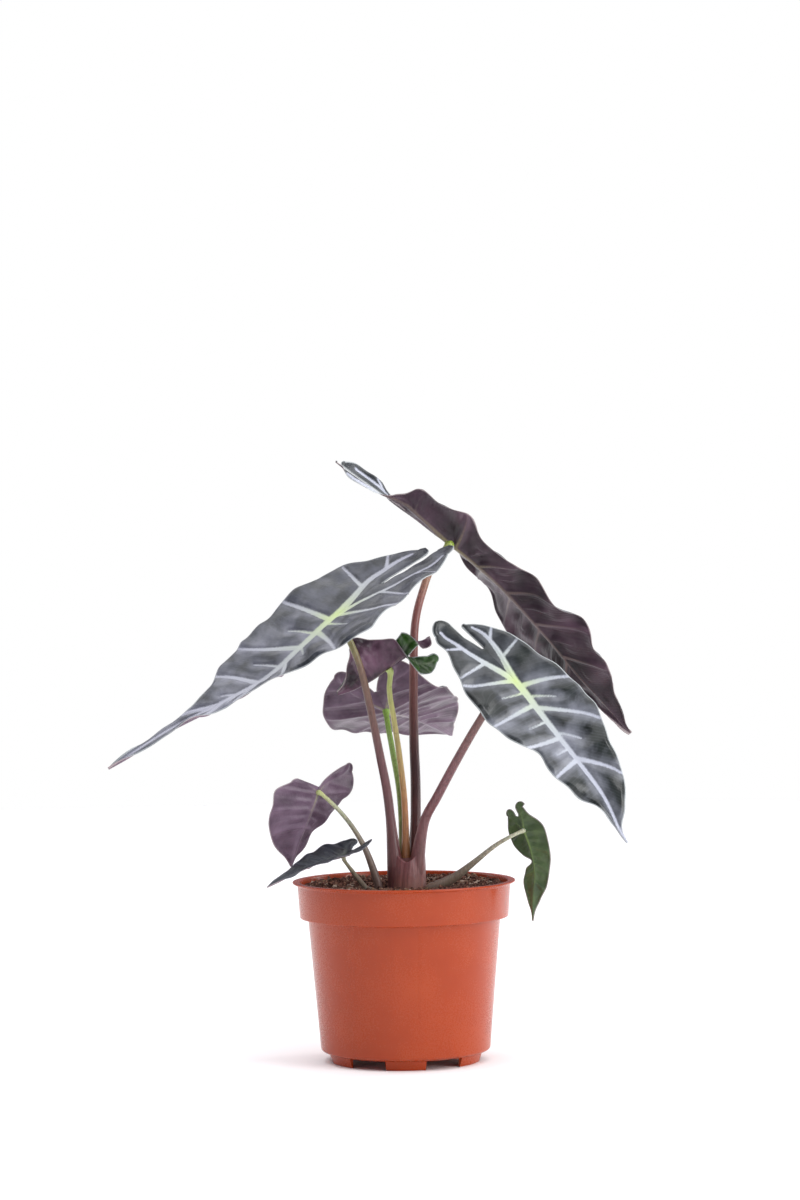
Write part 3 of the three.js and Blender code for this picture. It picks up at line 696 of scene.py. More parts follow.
def waxy_upper_skin(
    name, dark, mid, silver, silver_amount=1.0, heart_tint="#BCD088", edge="#A9AFB0", gloss=0.32
):
    """Waxed green cuticle with silver veins, and pale patches of painted glints and sheen."""
    material, tree, shader, place = start_material(
        name, IOR=1.45, Coat_Weight=0.12, Coat_Roughness=0.22, Sheen_Weight=0.04
    )
    vein, margin, heart, fan = leaf_numbers(tree)
    patches = add(
        tree, "TexNoise", {"Vector": place, "Scale": patches_of(LEAF_MOTTLE), "Detail": 4.0}
    )
    grain = add(
        tree, "TexNoise", {"Vector": place, "Scale": patches_of(LEAF_PORES), "Detail": 3.0}
    )
    base = add(tree, "ValToRGB", {"Fac": patches}, stops=[(0.38, dark), (0.62, mid)])
    wobble = add(tree, "Math", {0: grain, 1: 0.9, 2: vein}, operation="MULTIPLY_ADD")
    on_vein = add(
        tree, "MapRange",
        {"Value": wobble, "From Min": 1.15, "From Max": 0.1, "To Max": silver_amount},
        interpolation_type="SMOOTHSTEP"
    )
    # The halo is partly the leaf's own silver spreading from the veins and partly painted shade:
    # it leaves the middle of each panel darker.
    halo = add(
        tree, "MapRange",
        {"Value": vein, "From Min": 6.0, "From Max": 0.0, "To Max": 0.42 * silver_amount},
        interpolation_type="SMOOTHSTEP"
    )
    halo_noise = add(tree, "Math", {0: halo, 1: patches}, operation="MULTIPLY")
    phase = add(tree, "Math", {0: fan, 1: 2 * math.pi / FINE_VEIN_SPACING}, operation="MULTIPLY")
    wave = add(tree, "Math", {0: phase}, operation="SINE")
    fine = add(tree, "MapRange", {"Value": wave, "From Min": 0.55, "From Max": 1.0})
    fine_amount = add(tree, "Math", {0: fine, 1: 0.03}, operation="MULTIPLY")
    # Painted glints: noise patches of pale silver stand for the sheen that the quilted skin
    # catches from the lamps.
    glint_noise = add(
        tree, "TexNoise",
        {"Vector": place, "Scale": patches_of(GLINT_PATCH_SIZE), "Detail": 6.0, "Distortion": 0.25}
    )
    painted_glints = add(
        tree, "MapRange",
        {"Value": glint_noise, "From Min": 0.46, "From Max": 0.66, "To Max": 0.27 * silver_amount}
    )
    glints_and_fine_veins = add(tree, "Math", {0: painted_glints, 1: fine_amount}, operation="ADD")
    pale = add(tree, "Math", {0: halo_noise, 1: glints_and_fine_veins}, operation="ADD")
    # Painted sheen: the pale colour, painted glints included, is weakened towards the lobes, which
    # are left darker as painted shade.
    painted_sheen_falloff = add(
        tree, "MapRange", {"Value": fan, "From Min": -14.0, "From Max": 12.0, "To Min": 0.3}
    )
    paler = add(tree, "Math", {0: pale, 1: painted_sheen_falloff}, operation="MULTIPLY")
    cloudy = add(tree, "Mix", {"Factor": paler, "A": base, "B": silver}, data_type="RGBA")
    tinted = add(
        tree, "Mix", {"Factor": heart, "A": silver, "B": heart_tint},
        data_type="RGBA"
    )
    veined = add(tree, "Mix", {"Factor": on_vein, "A": cloudy, "B": tinted}, data_type="RGBA")
    rim = add(
        tree, "MapRange", {"Value": margin, "From Min": 0.75, "From Max": 0.25, "To Max": 0.8},
        interpolation_type="SMOOTHSTEP"
    )
    edged = add(tree, "Mix", {"Factor": rim, "A": veined, "B": edge}, data_type="RGBA")
    rough = add(
        tree, "MapRange", {"Value": patches, "To Min": gloss - 0.06, "To Max": gloss + 0.1}
    )
    height = add(tree, "Math", {0: fine, 1: 0.04, 2: grain}, operation="MULTIPLY_ADD")
    bump = add(tree, "Bump", {"Height": height, "Strength": 0.35, "Distance": 0.0003})
    fill(tree, shader, {"Base Color": edged, "Roughness": rough, "Normal": bump})
    return material


silver_green = waxy_upper_skin("waxy_leaf_upper", "#060F0C", "#131C1A", "#AEB2C0")
# Leaf a's upper skin is a paler copy: painted sheen, for the silvery light its face reflects.
sheen_painted_silver = waxy_upper_skin("sheen_painted_leaf_upper", "#161C20", "#363A44", "#A2A4B2")
young_green = waxy_upper_skin("young_leaf_upper", "#1F3D12", "#35601F", "#A9B89A", 0.25)
slate_green = waxy_upper_skin(
    "slate_leaf_upper", "#12161C", "#20252E", "#565C68", 0.25, "#78826C", "#4E545E"
)
print("upper skins:", silver_green.name, sheen_painted_silver.name, young_green.name, slate_green.name)

# %% Lower skin
LOWER_PORES = 0.909


def matt_lower_skin(name, dark, light, rib, heart_tint, patch_size=9.091, gloss=0.42):
    """Unwaxed lower skin: raised ribs paler than the skin between, painted shade in the hollows.
    """
    material, tree, shader, place = start_material(name, IOR=1.42, Sheen_Weight=0.15)
    vein, margin, heart, fan = leaf_numbers(tree)
    patches = add(tree, "TexNoise", {"Vector": place, "Scale": patches_of(patch_size), "Detail": 4.0})
    grain = add(
        tree, "TexNoise", {"Vector": place, "Scale": patches_of(LOWER_PORES), "Detail": 2.0}
    )
    base = add(tree, "ValToRGB", {"Fac": patches}, stops=[(0.3, dark), (0.7, light)])
    # Painted shade: the skin darkens away from the ribs into the hollows, and is painted a little
    # lighter beside them.
    painted_hollow_shade = add(
        tree, "MapRange",
        {"Value": vein, "From Min": 0.0, "From Max": 7.0, "To Min": 1.15, "To Max": 0.78}
    )
    shaded = add(
        tree, "Mix", {"Factor": 1.0, "A": base, "B": painted_hollow_shade}, data_type="RGBA",
        blend_type="MULTIPLY"
    )
    ribbed = add(
        tree, "MapRange", {"Value": vein, "From Min": -0.1, "From Max": -1.2, "To Max": 0.55},
        interpolation_type="SMOOTHSTEP"
    )
    rib_colour = add(
        tree, "Mix", {"Factor": heart, "A": rib, "B": heart_tint}, data_type="RGBA"
    )
    veined = add(tree, "Mix", {"Factor": ribbed, "A": shaded, "B": rib_colour}, data_type="RGBA")
    rim = add(
        tree, "MapRange", {"Value": margin, "From Min": 0.7, "From Max": 0.2, "To Max": 0.7},
        interpolation_type="SMOOTHSTEP"
    )
    edged = add(
        tree, "Mix", {"Factor": rim, "A": veined, "B": "#A89C9C"}, data_type="RGBA"
    )
    rough = add(
        tree, "MapRange", {"Value": patches, "To Min": gloss - 0.08, "To Max": gloss + 0.08}
    )
    phase = add(tree, "Math", {0: fan, 1: 2 * math.pi / FINE_VEIN_SPACING}, operation="MULTIPLY")
    wave = add(tree, "Math", {0: phase}, operation="SINE")
    height = add(tree, "Math", {0: wave, 1: 0.25, 2: grain}, operation="MULTIPLY_ADD")
    bump = add(tree, "Bump", {"Height": height, "Strength": 0.4, "Distance": 0.0003})
    fill(tree, shader, {"Base Color": edged, "Roughness": rough, "Normal": bump})
    return material


# Leaf b's lower skin is a darker copy as painted shade, and its broad near-black patches are
# painted shade in its folds.
shade_darkened_mauve = matt_lower_skin("shade_darkened_leaf_lower", "#10070E", "#4E3846", "#7A6864", "#A09868", 23.81)
mauve = matt_lower_skin("mauve_leaf_lower", "#4A3848", "#6E5A6C", "#7A6678", "#A8B070")
young_mauve = matt_lower_skin(
    "young_leaf_lower", "#20101C", "#6C4C60", "#A08C86", "#B5A878", 11.111
)
green_under = matt_lower_skin("green_leaf_lower", "#34452A", "#4C5F36", "#7C9A54", "#9AB468")
print("lower skins:", shade_darkened_mauve.name, mauve.name, young_mauve.name, green_under.name)

# %% Build the leaves
SKINS = {
    "a": (sheen_painted_silver, mauve), "b": (silver_green, shade_darkened_mauve), "c": (silver_green, mauve),
    "d": (silver_green, mauve), "e": (young_green, young_mauve), "f": (silver_green, mauve),
    "g": (slate_green, mauve), "h": (young_green, green_under)
}


def build_leaf(name, leaf, upper_material, lower_material):
    """One leaf blade as a closed thin skin."""
    blade = Blade(leaf)
    points, faces, kinds = [], [], []
    values = dict(vein=[], margin=[], heart=[], fan=[])
    count = 0
    for side in (LEFT, RIGHT):
        widest = blade.outline[side][:, 1].max()
        columns = max(9, int(widest / GRID_STEP))
        upper, lower, numbers = half_surface(blade, side, columns)
        rows = upper.shape[0]
        for skin, grid in enumerate((upper, lower)):
            flip = (side == LEFT) == (skin == 0)
            quads = grid_faces(rows, columns, count, flip=flip)
            points.append(grid.reshape(-1, 3))
            faces.extend(quads)
            kinds.extend([skin] * len(quads))
            for key in values:
                values[key].append(numbers[key].ravel())
            count += rows * columns
    values = {key: np.concatenate(parts) for key, parts in values.items()}
    materials = [upper_material, lower_material]
    piece = make_piece(
        f"leaf_blade_{name}", np.vstack(points), faces, materials, values, kinds
    )
    weld(piece)
    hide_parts(f"leaf_{name}")
    return piece


for leaf_name, leaf in LEAVES.items():
    built = build_leaf(leaf_name, leaf, *SKINS[leaf_name])
    print(built.name, len(built.data.polygons), "faces")

# %% [markdown]
# ## Stalks
# A stalk is fleshy and nearly round. It is widest in its sheath and swells again a little where it
# turns into the blade's midrib. Its colour runs from mauve-brown at the foot to yellow-green at
# the blade, in fine streaks along its length. We sweep a ring along a smooth line.

# %% A tube along a line


def tube_faces(rows, sides, flip=False):
    """Faces of a closed tube: its wall, and a cap at each end."""
    wall = [list(q) for q in grid_faces(rows, sides, closed=True, flip=flip)]
    step = 1 if flip else -1
    first, last = list(range(sides)), list(range((rows - 1) * sides, rows * sides))
    return wall + [first[::step], last[::-step]]


def sweep(line, radii, sides, squash=1.0):
    """Rings of points round a line, kept from twisting."""
    along = unit(np.gradient(line, axis=0))
    normal = unit(np.cross(along[0], (0.0, 1.0, 0.2)))
    turn = np.linspace(0, 2 * np.pi, sides, False)
    rings = []
    for centre, direction, radius in zip(line, along, radii):
        normal = unit(normal - direction * np.dot(normal, direction))
        other = np.cross(direction, normal)
        ring = np.outer(np.cos(turn), normal) + squash * np.outer(np.sin(turn), other)
        rings.append(centre + radius * ring)
    return np.array(rings)


print("faces of a tube of 3 rings with 8 sides:", len(tube_faces(3, 8)))

# %% A stalk
STALK_SIDES = 28
SHEATH_FLARE = {"a": 1.5, "b": 1.2, "c": 1.4, "d": 0.8, "e": 0.8, "f": 0.5, "g": 0.4, "h": 0.9}


def build_stalk(name, leaf, material):
    """One stalk, from its sheath into the underside of its blade."""
    blade = Blade(leaf)
    joint = blade.spine(0.0)
    up = blade.axes(np.array(0.0))[2]
    foot = np.array(leaf["stalk"][0] if len(leaf["stalk"][0]) == 3 else (*leaf["stalk"][0], -2.0))
    lift = (0, 0, SOIL_LEVEL)
    route = [foot + lift, foot + lift + (0, 0, 6)]
    route += [np.add(p, lift) for p in leaf["stalk"][1:]]
    route += [joint - 2.2 * up, joint - 0.3 * up]
    line = smooth_line(route, 16)
    length = np.concatenate([[0], np.cumsum(np.linalg.norm(np.diff(line, axis=0), axis=1))])
    t = length / length[-1]
    base, top = leaf["radii"]
    radii = top + (base - top) * (1 - t) ** 1.3
    radii = radii + SHEATH_FLARE[name] * (1 - ease(length, 8, 44))
    radii = radii + 0.45 * top * ease(length, length[-1] - 5, length[-1])
    rings = sweep(line, radii, STALK_SIDES)
    faces = tube_faces(len(line), STALK_SIDES)
    values = dict(along=np.repeat(t, STALK_SIDES))
    piece = make_piece(
        f"leaf_stalk_{name}", rings.reshape(-1, 3), faces, [material], values
    )
    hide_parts(f"stalk_{name}")
    return piece


print("widest sheath flare:", max(SHEATH_FLARE.values()), "mm")

# %% [markdown]
# The skin of a stalk is living tissue with a thin cuticle: satin, IOR about 1.45, streaked along
# its length with pigment. A little light scatters beneath it, which softens the shading. The
# streaks of real stalks are finer than a tenth of a millimetre. Ours are 0.7 mm wide so that they
# show.

# %% Stalk skin
STREAK_WIDTH = 0.7143
FRECKLE_SIZE = 2.222


def fleshy_stalk(name, stops, gloss=0.36):
    """Satin stalk skin: a run of colour from foot to blade, with streaks and freckles."""
    material, tree, shader, place = start_material(
        name, IOR=1.45, Subsurface_Weight=0.08, Subsurface_Scale=0.002, Coat_Weight=0.12
    )
    along = add(tree, "Attribute", attribute_name="along").outputs["Fac"]
    stretched = add(tree, "Mapping", {"Vector": place, "Scale": (1.0, 1.0, 0.06)})
    streaks = add(
        tree, "TexNoise",
        {"Vector": stretched, "Scale": patches_of(STREAK_WIDTH), "Detail": 4.0}
    )
    freckles = add(
        tree, "TexNoise", {"Vector": place, "Scale": patches_of(FRECKLE_SIZE), "Detail": 3.0}
    )
    run = add(tree, "ValToRGB", {"Fac": along}, stops=stops)
    shade = add(
        tree, "MapRange",
        {"Value": streaks, "From Min": 0.3, "From Max": 0.7, "To Min": 0.72, "To Max": 1.22}
    )
    streaked = add(
        tree, "Mix", {"Factor": 1.0, "A": run, "B": shade}, data_type="RGBA", blend_type="MULTIPLY"
    )
    spots = add(
        tree, "MapRange", {"Value": freckles, "From Min": 0.58, "From Max": 0.72, "To Max": 0.35}
    )
    freckled = add(
        tree, "Mix", {"Factor": spots, "A": streaked, "B": "#4A2A2C"}, data_type="RGBA"
    )
    rough = add(
        tree, "MapRange", {"Value": freckles, "To Min": gloss - 0.06, "To Max": gloss + 0.12}
    )
    bump = add(tree, "Bump", {"Height": streaks, "Strength": 0.3, "Distance": 0.0004})
    fill(tree, shader, {"Base Color": freckled, "Roughness": rough, "Normal": bump})
    return material


STALK_COLOURS = {
    "a": [(0.0, "#5E3634"), (0.45, "#62383C"), (0.8, "#685040"), (1.0, "#8A9450")],
    "b": [
        (0.0, "#603430"), (0.35, "#381A1A"), (0.8, "#8A5A54"), (0.95, "#A08468"), (1.0, "#9CB84A")
    ],
    "c": [(0.0, "#6A403C"), (0.5, "#80565A"), (0.85, "#785850"), (1.0, "#8E8A58")],
    "d": [(0.0, "#7A5A44"), (0.4, "#7C8A4A"), (0.8, "#7C9A48"), (1.0, "#8CB050")],
    "e": [(0.0, "#8A5A3C"), (0.4, "#B07A4C"), (0.75, "#B8B070"), (1.0, "#B8C878")],
    "f": [(0.0, "#6E5650"), (0.4, "#82746A"), (0.8, "#A2A488"), (1.0, "#B8C07C")],
    "g": [(0.0, "#74625A"), (0.6, "#857C6C"), (1.0, "#9A987E")],
    "h": [(0.0, "#7C685C"), (0.35, "#867868"), (0.7, "#A6A28E"), (1.0, "#B8BCA0")]
}
print("stalk colours for:", ", ".join(STALK_COLOURS))

# %% Build the stalks
for leaf_name, leaf in LEAVES.items():
    skin = fleshy_stalk(f"fleshy_stalk_{leaf_name}", STALK_COLOURS[leaf_name])
    built = build_stalk(leaf_name, leaf, skin)
    print(built.name, len(built.data.polygons), "faces")

# %% [markdown]
# ## Stem base
# An alocasia has no trunk above the soil. What looks like one is the wrapped feet of the stalks,
# sheath round sheath, over a corm in the soil. We turn a column and press shallow folds into it
# where one sheath edge laps over the next.

# %% Stem base
stem_low, stem_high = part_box("stem_base")
STEM_CENTRE_X = (stem_low.x + stem_high.x) / 2 / MM
STEM_HEIGHT = stem_high.z / MM - SOIL_LEVEL
STEM_SIDES = 96
STEM_RADIUS = 8.7
ROOT_RADIUS = (stem_high.x - stem_low.x) / 2 / MM


def build_stem_base():
    """The corm and the sheath column, whose top dips in front and behind between the stalks."""
    profile = [
        (stem_low.z / MM - SOIL_LEVEL, 0.6 * ROOT_RADIUS), (-14, ROOT_RADIUS),
        (-7, 0.9 * ROOT_RADIUS), (-1, STEM_RADIUS + 1.3), (4, STEM_RADIUS + 1.0),
        (STEM_HEIGHT * 0.6, STEM_RADIUS + 0.8), (STEM_HEIGHT, STEM_RADIUS + 0.1)
    ]
    line = smooth_line([(h, r, 0) for h, r in profile], 10)
    lining = [(STEM_HEIGHT - 0.4, STEM_RADIUS - 0.8, 0), (STEM_HEIGHT - 5, STEM_RADIUS - 2.4, 0)]
    line = np.vstack([line, lining])
    turn = np.linspace(0, 2 * np.pi, STEM_SIDES, False)
    radius = line[:, 1][:, None] * np.ones(STEM_SIDES)
    dip = (9 * (1 - np.abs(np.cos(turn)) ** 1.5))[None, :] - 2.5
    height = line[:, 0][:, None] - dip * ease(line[:, 0], 0, STEM_HEIGHT)[:, None]
    for where, lean in ((-1.9, 0.010), (-0.9, -0.012), (1.6, 0.014), (2.9, -0.01)):
        gap = np.angle(np.exp(1j * (turn[None, :] - where - lean * height)))
        radius = radius - 0.45 * np.exp(-((gap / 0.07) ** 2)) + 0.3 * ease(gap, 0, 0.5)
    x = STEM_CENTRE_X + radius * np.cos(turn)
    y = 1.05 * radius * np.sin(turn)
    z = SOIL_LEVEL + height
    points = np.stack([x, y, z], -1).reshape(-1, 3)
    faces = tube_faces(len(line), STEM_SIDES)
    along = np.repeat((line[:, 0] - line[0, 0]) / np.ptp(line[:, 0]), STEM_SIDES)
    skin = fleshy_stalk(
        "stem_sheath", [(0.0, "#6A4A40"), (0.45, "#80584C"), (0.7, "#7E504C"), (1.0, "#724244")],
        0.42
    )
    piece = make_piece("stem_sheaths", points, faces, [skin], dict(along=along))
    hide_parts("stem_base")
    return piece


print(build_stem_base().name, f"{STEM_HEIGHT:.1f} mm high")

# %% [markdown]
# ## Soil
# Potting soil is peat and coir: dark crumbs from dust up to a few millimetres, with pale fibres
# and bits of wood. We make a rough bed and scatter real crumbs and fibres over it, because flat
# texture never gives their small shadows.

# %% Lie of the soil
rng = np.random.default_rng(7)
SOIL_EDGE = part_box("potting_soil")[1].x / MM
BANK = 2.4


def soil_height(x, y):
    """Height of the bed, in millimetres: slow swell, small lumps, banked up to the wall."""
    swell = np.sin(x / 7 + 1) * np.cos(y / 9) + np.sin(x / 4 - y / 5)
    lumps = np.sin(x * 1.3 + 2 * np.sin(y)) * np.sin(y * 1.5 + np.sin(x * 0.8))
    banked = BANK * ease(np.hypot(x, y), 22, SOIL_EDGE - 3)
    return SOIL_LEVEL + 0.35 * swell + 0.25 * lumps + banked


print("bank against the wall:", f"{soil_height(SOIL_EDGE, 0.0) - SOIL_LEVEL:.1f} mm")

# %% Peat
PEAT_GRAIN = 1.111


def peat_soil():
    """Damp peat: matt, nearly black-brown, mottled in grains about a millimetre across."""
    material, tree, shader, place = start_material("peat_soil", IOR=1.4, Specular_IOR_Level=0.3)
    grains = add(
        tree, "TexNoise", {"Vector": place, "Scale": patches_of(PEAT_GRAIN), "Detail": 6.0}
    )
    colour = add(
        tree, "ValToRGB", {"Fac": grains},
        stops=[(0.36, "#20110D"), (0.52, "#523229"), (0.66, "#84604E"), (0.78, "#C4A890")]
    )
    rough = add(tree, "MapRange", {"Value": grains, "To Min": 0.8, "To Max": 1.0})
    bump = add(tree, "Bump", {"Height": grains, "Strength": 0.9, "Distance": 0.0008})
    fill(tree, shader, {"Base Color": colour, "Roughness": rough, "Normal": bump})
    return material


damp_peat = peat_soil()
print(damp_peat.name, "with grains of", PEAT_GRAIN, "mm")

# %% [markdown]
# ## Pot sizes
# The pot narrows in steps from its lip: a band under the rim, a shoulder, a tapered body and a
# floor. The soil fills it, so we need these radii before we pour the bed.

# %% Pot sizes, in millimetres
POT_WALL = 1.3
FOOT_HEIGHT = 5.0
BAND_HEIGHT = 19.4
BAND_TOP = LIP_RADIUS - 2.6
BAND_FOOT = BAND_TOP - 1.2
BODY_TOP = BAND_FOOT - 4.4
BODY_FOOT = BODY_TOP - 6.2
FLOOR_EDGE = BODY_FOOT - 3.3
print(f"band {BAND_TOP:.1f} to {BAND_FOOT:.1f}, body {BODY_TOP:.1f} to {BODY_FOOT:.1f}")

# %% Soil bed
SOIL_INSET = 1.8


def build_soil(material):
    """The bed: its rough top, its side against the pot and its flat underside."""
    sides, rings = 160, 60
    turn = np.linspace(0, 2 * np.pi, sides, False)
    radius = SOIL_EDGE * np.linspace(0.002, 1, rings) ** 0.8
    x = radius[:, None] * np.cos(turn)
    y = radius[:, None] * np.sin(turn)
    top = np.stack([x, y, soil_height(x, y)], -1)
    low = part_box("potting_soil")[0]
    step = POT_HEIGHT - BAND_HEIGHT + POT_WALL
    skirt = []
    wall = ((BAND_FOOT, step + 0.4), (BODY_TOP, step - 1), (BODY_FOOT, low.z / MM))
    for wall_radius, height in wall:
        reach = wall_radius - SOIL_INSET
        ring = np.stack([np.cos(turn) * reach, np.sin(turn) * reach], -1)
        skirt.append(np.column_stack([ring, np.full(sides, height)]))
    points = np.concatenate([top, np.array(skirt)])
    faces = tube_faces(len(points), sides, flip=True)
    piece = make_piece("soil_bed", points.reshape(-1, 3), faces, [material])
    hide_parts("potting_soil")
    return piece


print(build_soil(damp_peat).name, f"out to {SOIL_EDGE:.1f} mm")

# %% [markdown]
# ## Crumbs and fibres
# The top of potting soil is loose: crumbs of peat, chips of bark, pale bits of wood and curly coir
# fibres. We join all the lumps of one stuff into one piece, each squeezed and turned its own way,
# because thousands of separate objects would be slow and a particle system wouldn't export.

# %% Scattered lumps


def crumb_shape():
    """A small rounded lump with twelve corners, as points and faces."""
    work = bmesh.new()
    bmesh.ops.create_icosphere(work, subdivisions=1, radius=1)
    work.verts.ensure_lookup_table()
    points = np.array([v.co[:] for v in work.verts])
    faces = np.array([[v.index for v in f.verts] for f in work.faces])
    work.free()
    return points, faces


def scatter(count, inner, outer):
    """Places on the soil, in a ring about the axis."""
    radius = np.sqrt(rng.uniform(inner**2, outer**2, count))
    turn = rng.uniform(0, 2 * np.pi, count)
    x, y = radius * np.cos(turn), radius * np.sin(turn)
    return np.stack([x, y, soil_height(x, y)], -1)


def build_crumbs(name, count, low, high, material):
    """Many lumps as one piece, each squeezed and turned its own way."""
    shape, shape_faces = crumb_shape()
    centres = scatter(count, 7.5, SOIL_EDGE - 1.5)
    sizes = low * (high / low) ** (rng.random(count) ** 2)
    points, faces = [], []
    for i in range(count):
        lump = shape * rng.uniform(0.7, 1.3, (len(shape), 1)) * rng.uniform(0.6, 1.2, 3)
        axis = np.linalg.qr(rng.normal(size=(3, 3)))[0]
        points.append(lump @ axis * sizes[i] + centres[i] + (0, 0, 0.25 * sizes[i]))
        faces.append(shape_faces + i * len(shape))
    piece = make_piece(name, np.vstack(points), np.vstack(faces), [material])
    piece.data.polygons.foreach_set("use_smooth", np.zeros(len(piece.data.polygons), bool))
    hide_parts("potting_soil")
    return piece


print("corners of one lump:", len(crumb_shape()[0]))

# %% Bark and straw
BIT_GRAIN = 1.4286


def plain_bits(name, stops):
    """Dry bits of wood, bark or perlite: matt, with a run of colour from bit to bit."""
    material, tree, shader, place = start_material(name, IOR=1.4, Roughness=0.9)
    noise = add(tree, "TexNoise", {"Vector": place, "Scale": patches_of(BIT_GRAIN), "Detail": 3.0})
    colour = add(tree, "ValToRGB", {"Fac": noise}, stops=stops)
    bump = add(tree, "Bump", {"Height": noise, "Strength": 0.5, "Distance": 0.0003})
    fill(tree, shader, {"Base Color": colour, "Normal": bump})
    return material


bark = plain_bits("bark_bits", [(0.3, "#33221A"), (0.5, "#5C4232"), (0.7, "#866A50")])
straw = plain_bits("coir_fibre", [(0.3, "#80685A"), (0.5, "#B09A88"), (0.7, "#D8CABC")])
for name, count, low, high, stuff in (
    ("soil_crumbs", 2600, 0.5, 2.4, damp_peat), ("bark_crumbs", 420, 0.6, 2.6, bark),
    ("pale_crumbs", 420, 0.4, 1.7, straw)
):
    print(build_crumbs(name, count, low, high, stuff).name, count, "lumps")

# %% Coir fibres


def build_fibres(count, material):
    """Thin bent coir fibres lying on the soil."""
    starts = scatter(count, 9, SOIL_EDGE - 5)
    points, faces = [], []
    sides, steps = 5, 7
    for i, start in enumerate(starts):
        heading = rng.uniform(0, 2 * np.pi)
        length = rng.uniform(3, 9)
        bend = rng.uniform(-1.2, 1.2)
        t = np.linspace(0, 1, steps)
        angle = heading + bend * t
        x = start[0] + np.cumsum(np.cos(angle)) * length / steps
        y = start[1] + np.cumsum(np.sin(angle)) * length / steps
        out = np.hypot(x, y)
        pull = np.minimum(1, (SOIL_EDGE - 1) / out)
        x, y = x * pull, y * pull
        z = soil_height(x, y) + 0.5 + 0.8 * np.sin(np.pi * t) * rng.random()
        ring = sweep(np.stack([x, y, z], -1), np.full(steps, rng.uniform(0.1, 0.26)), sides)
        points.append(ring.reshape(-1, 3))
        faces.append(grid_faces(steps, sides, i * steps * sides, closed=True))
    piece = make_piece("coir_fibres", np.vstack(points), np.vstack(faces), [material])
    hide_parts("potting_soil")
    return piece


print(build_fibres(420, straw).name)

# %% [markdown]
# ## Pot
# The pot is injection-moulded polypropylene. Moulding leaves every edge slightly rounded, a band
# under the rim so that pots stack without jamming, and feet so that water can drain away. We turn
# a profile with rounded corners, then cut the drain holes.

# %% Pot profile


def rounded(corners, radii, steps=4):
    """A profile whose corners are replaced by short curves."""
    out = []
    for i, (corner, radius) in enumerate(zip(corners, radii)):
        corner = np.array(corner, float)
        if radius == 0:
            out.append(corner)
            continue
        before = np.array(corners[i - 1], float) - corner
        after = np.array(corners[i + 1], float) - corner
        cut = min(radius, np.linalg.norm(before) / 2, np.linalg.norm(after) / 2)
        a, b = corner + cut * unit(before), corner + cut * unit(after)
        for t in np.linspace(0, 1, steps + 1):
            out.append((1 - t) ** 2 * a + 2 * t * (1 - t) * corner + t**2 * b)
    return np.array(out)


def pot_profile():
    """Radius and height of the wall, from the middle of the floor's underside and back."""
    band = POT_HEIGHT - BAND_HEIGHT
    lip = POT_HEIGHT - 0.9
    corners = [
        (0.05, FOOT_HEIGHT), (FLOOR_EDGE, FOOT_HEIGHT), (BODY_FOOT, FOOT_HEIGHT + POT_WALL),
        (BODY_TOP, band - 0.65), (BAND_FOOT, band), (BAND_TOP, lip - 0.65), (LIP_RADIUS, lip),
        (LIP_RADIUS, POT_HEIGHT), (BAND_TOP - POT_WALL, POT_HEIGHT),
        (BAND_FOOT - POT_WALL, band + POT_WALL), (BODY_TOP - POT_WALL, band),
        (BODY_FOOT - POT_WALL, FOOT_HEIGHT + POT_WALL), (0.05, FOOT_HEIGHT + POT_WALL)
    ]
    radii = [0, 0.6, 1.2, 0.3, 0.45, 0.9, 0.3, 0.3, 0.9, 1.0, 0.8, 1.2, 0]
    return rounded(corners, radii)


def turn_profile(profile, sides):
    """Points and faces of a profile turned about the axis."""
    turn = np.linspace(0, 2 * np.pi, sides, False)
    x = profile[:, 0][:, None] * np.cos(turn)
    y = profile[:, 0][:, None] * np.sin(turn)
    z = np.repeat(profile[:, 1][:, None], sides, 1)
    return np.stack([x, y, z], -1).reshape(-1, 3), grid_faces(len(profile), sides, closed=True)


print("points in the pot's profile:", len(pot_profile()))

# %% [markdown]
# Moulded polypropylene has a soft gloss, IOR about 1.49. Its colour is even, with faint flow
# marks, and handling leaves dust and fine scuffs, which show as rougher patches. Real dust is too
# fine to see here, so its specks are drawn 0.7 mm across.

# %% Pot material
FLOW_MARKS = 28.571
DUST_SPECKS = 0.6667


def moulded_polypropylene(name, colour, worn):
    """Terracotta-coloured polypropylene, moulded: soft gloss with dust and fine scuffs."""
    material, tree, shader, place = start_material(
        name, IOR=1.49, Specular_IOR_Level=0.35, Subsurface_Weight=0.04, Subsurface_Scale=0.003
    )
    cloud = add(
        tree, "TexNoise", {"Vector": place, "Scale": patches_of(FLOW_MARKS), "Detail": 5.0}
    )
    dust = add(
        tree, "TexNoise", {"Vector": place, "Scale": patches_of(DUST_SPECKS), "Detail": 3.0}
    )
    base = add(tree, "ValToRGB", {"Fac": cloud}, stops=[(0.3, colour), (0.75, worn)])
    both = add(tree, "Math", {0: cloud, 1: dust}, operation="MULTIPLY")
    rough = add(
        tree, "MapRange",
        {"Value": both, "From Min": 0.15, "From Max": 0.4, "To Min": 0.24, "To Max": 0.31}
    )
    bump = add(tree, "Bump", {"Height": dust, "Strength": 0.02, "Distance": 0.0001})
    fill(tree, shader, {"Base Color": base, "Roughness": rough, "Normal": bump})
    return material


terracotta_plastic = moulded_polypropylene("moulded_polypropylene", "#9A3610", "#A44018")
print(terracotta_plastic.name)

# %% Feet
FOOT_COUNT = 6
FOOT_HALF_ANGLE = 15.0
FOOT_THICKNESS = 2.55
FOOT_STEPS = 12


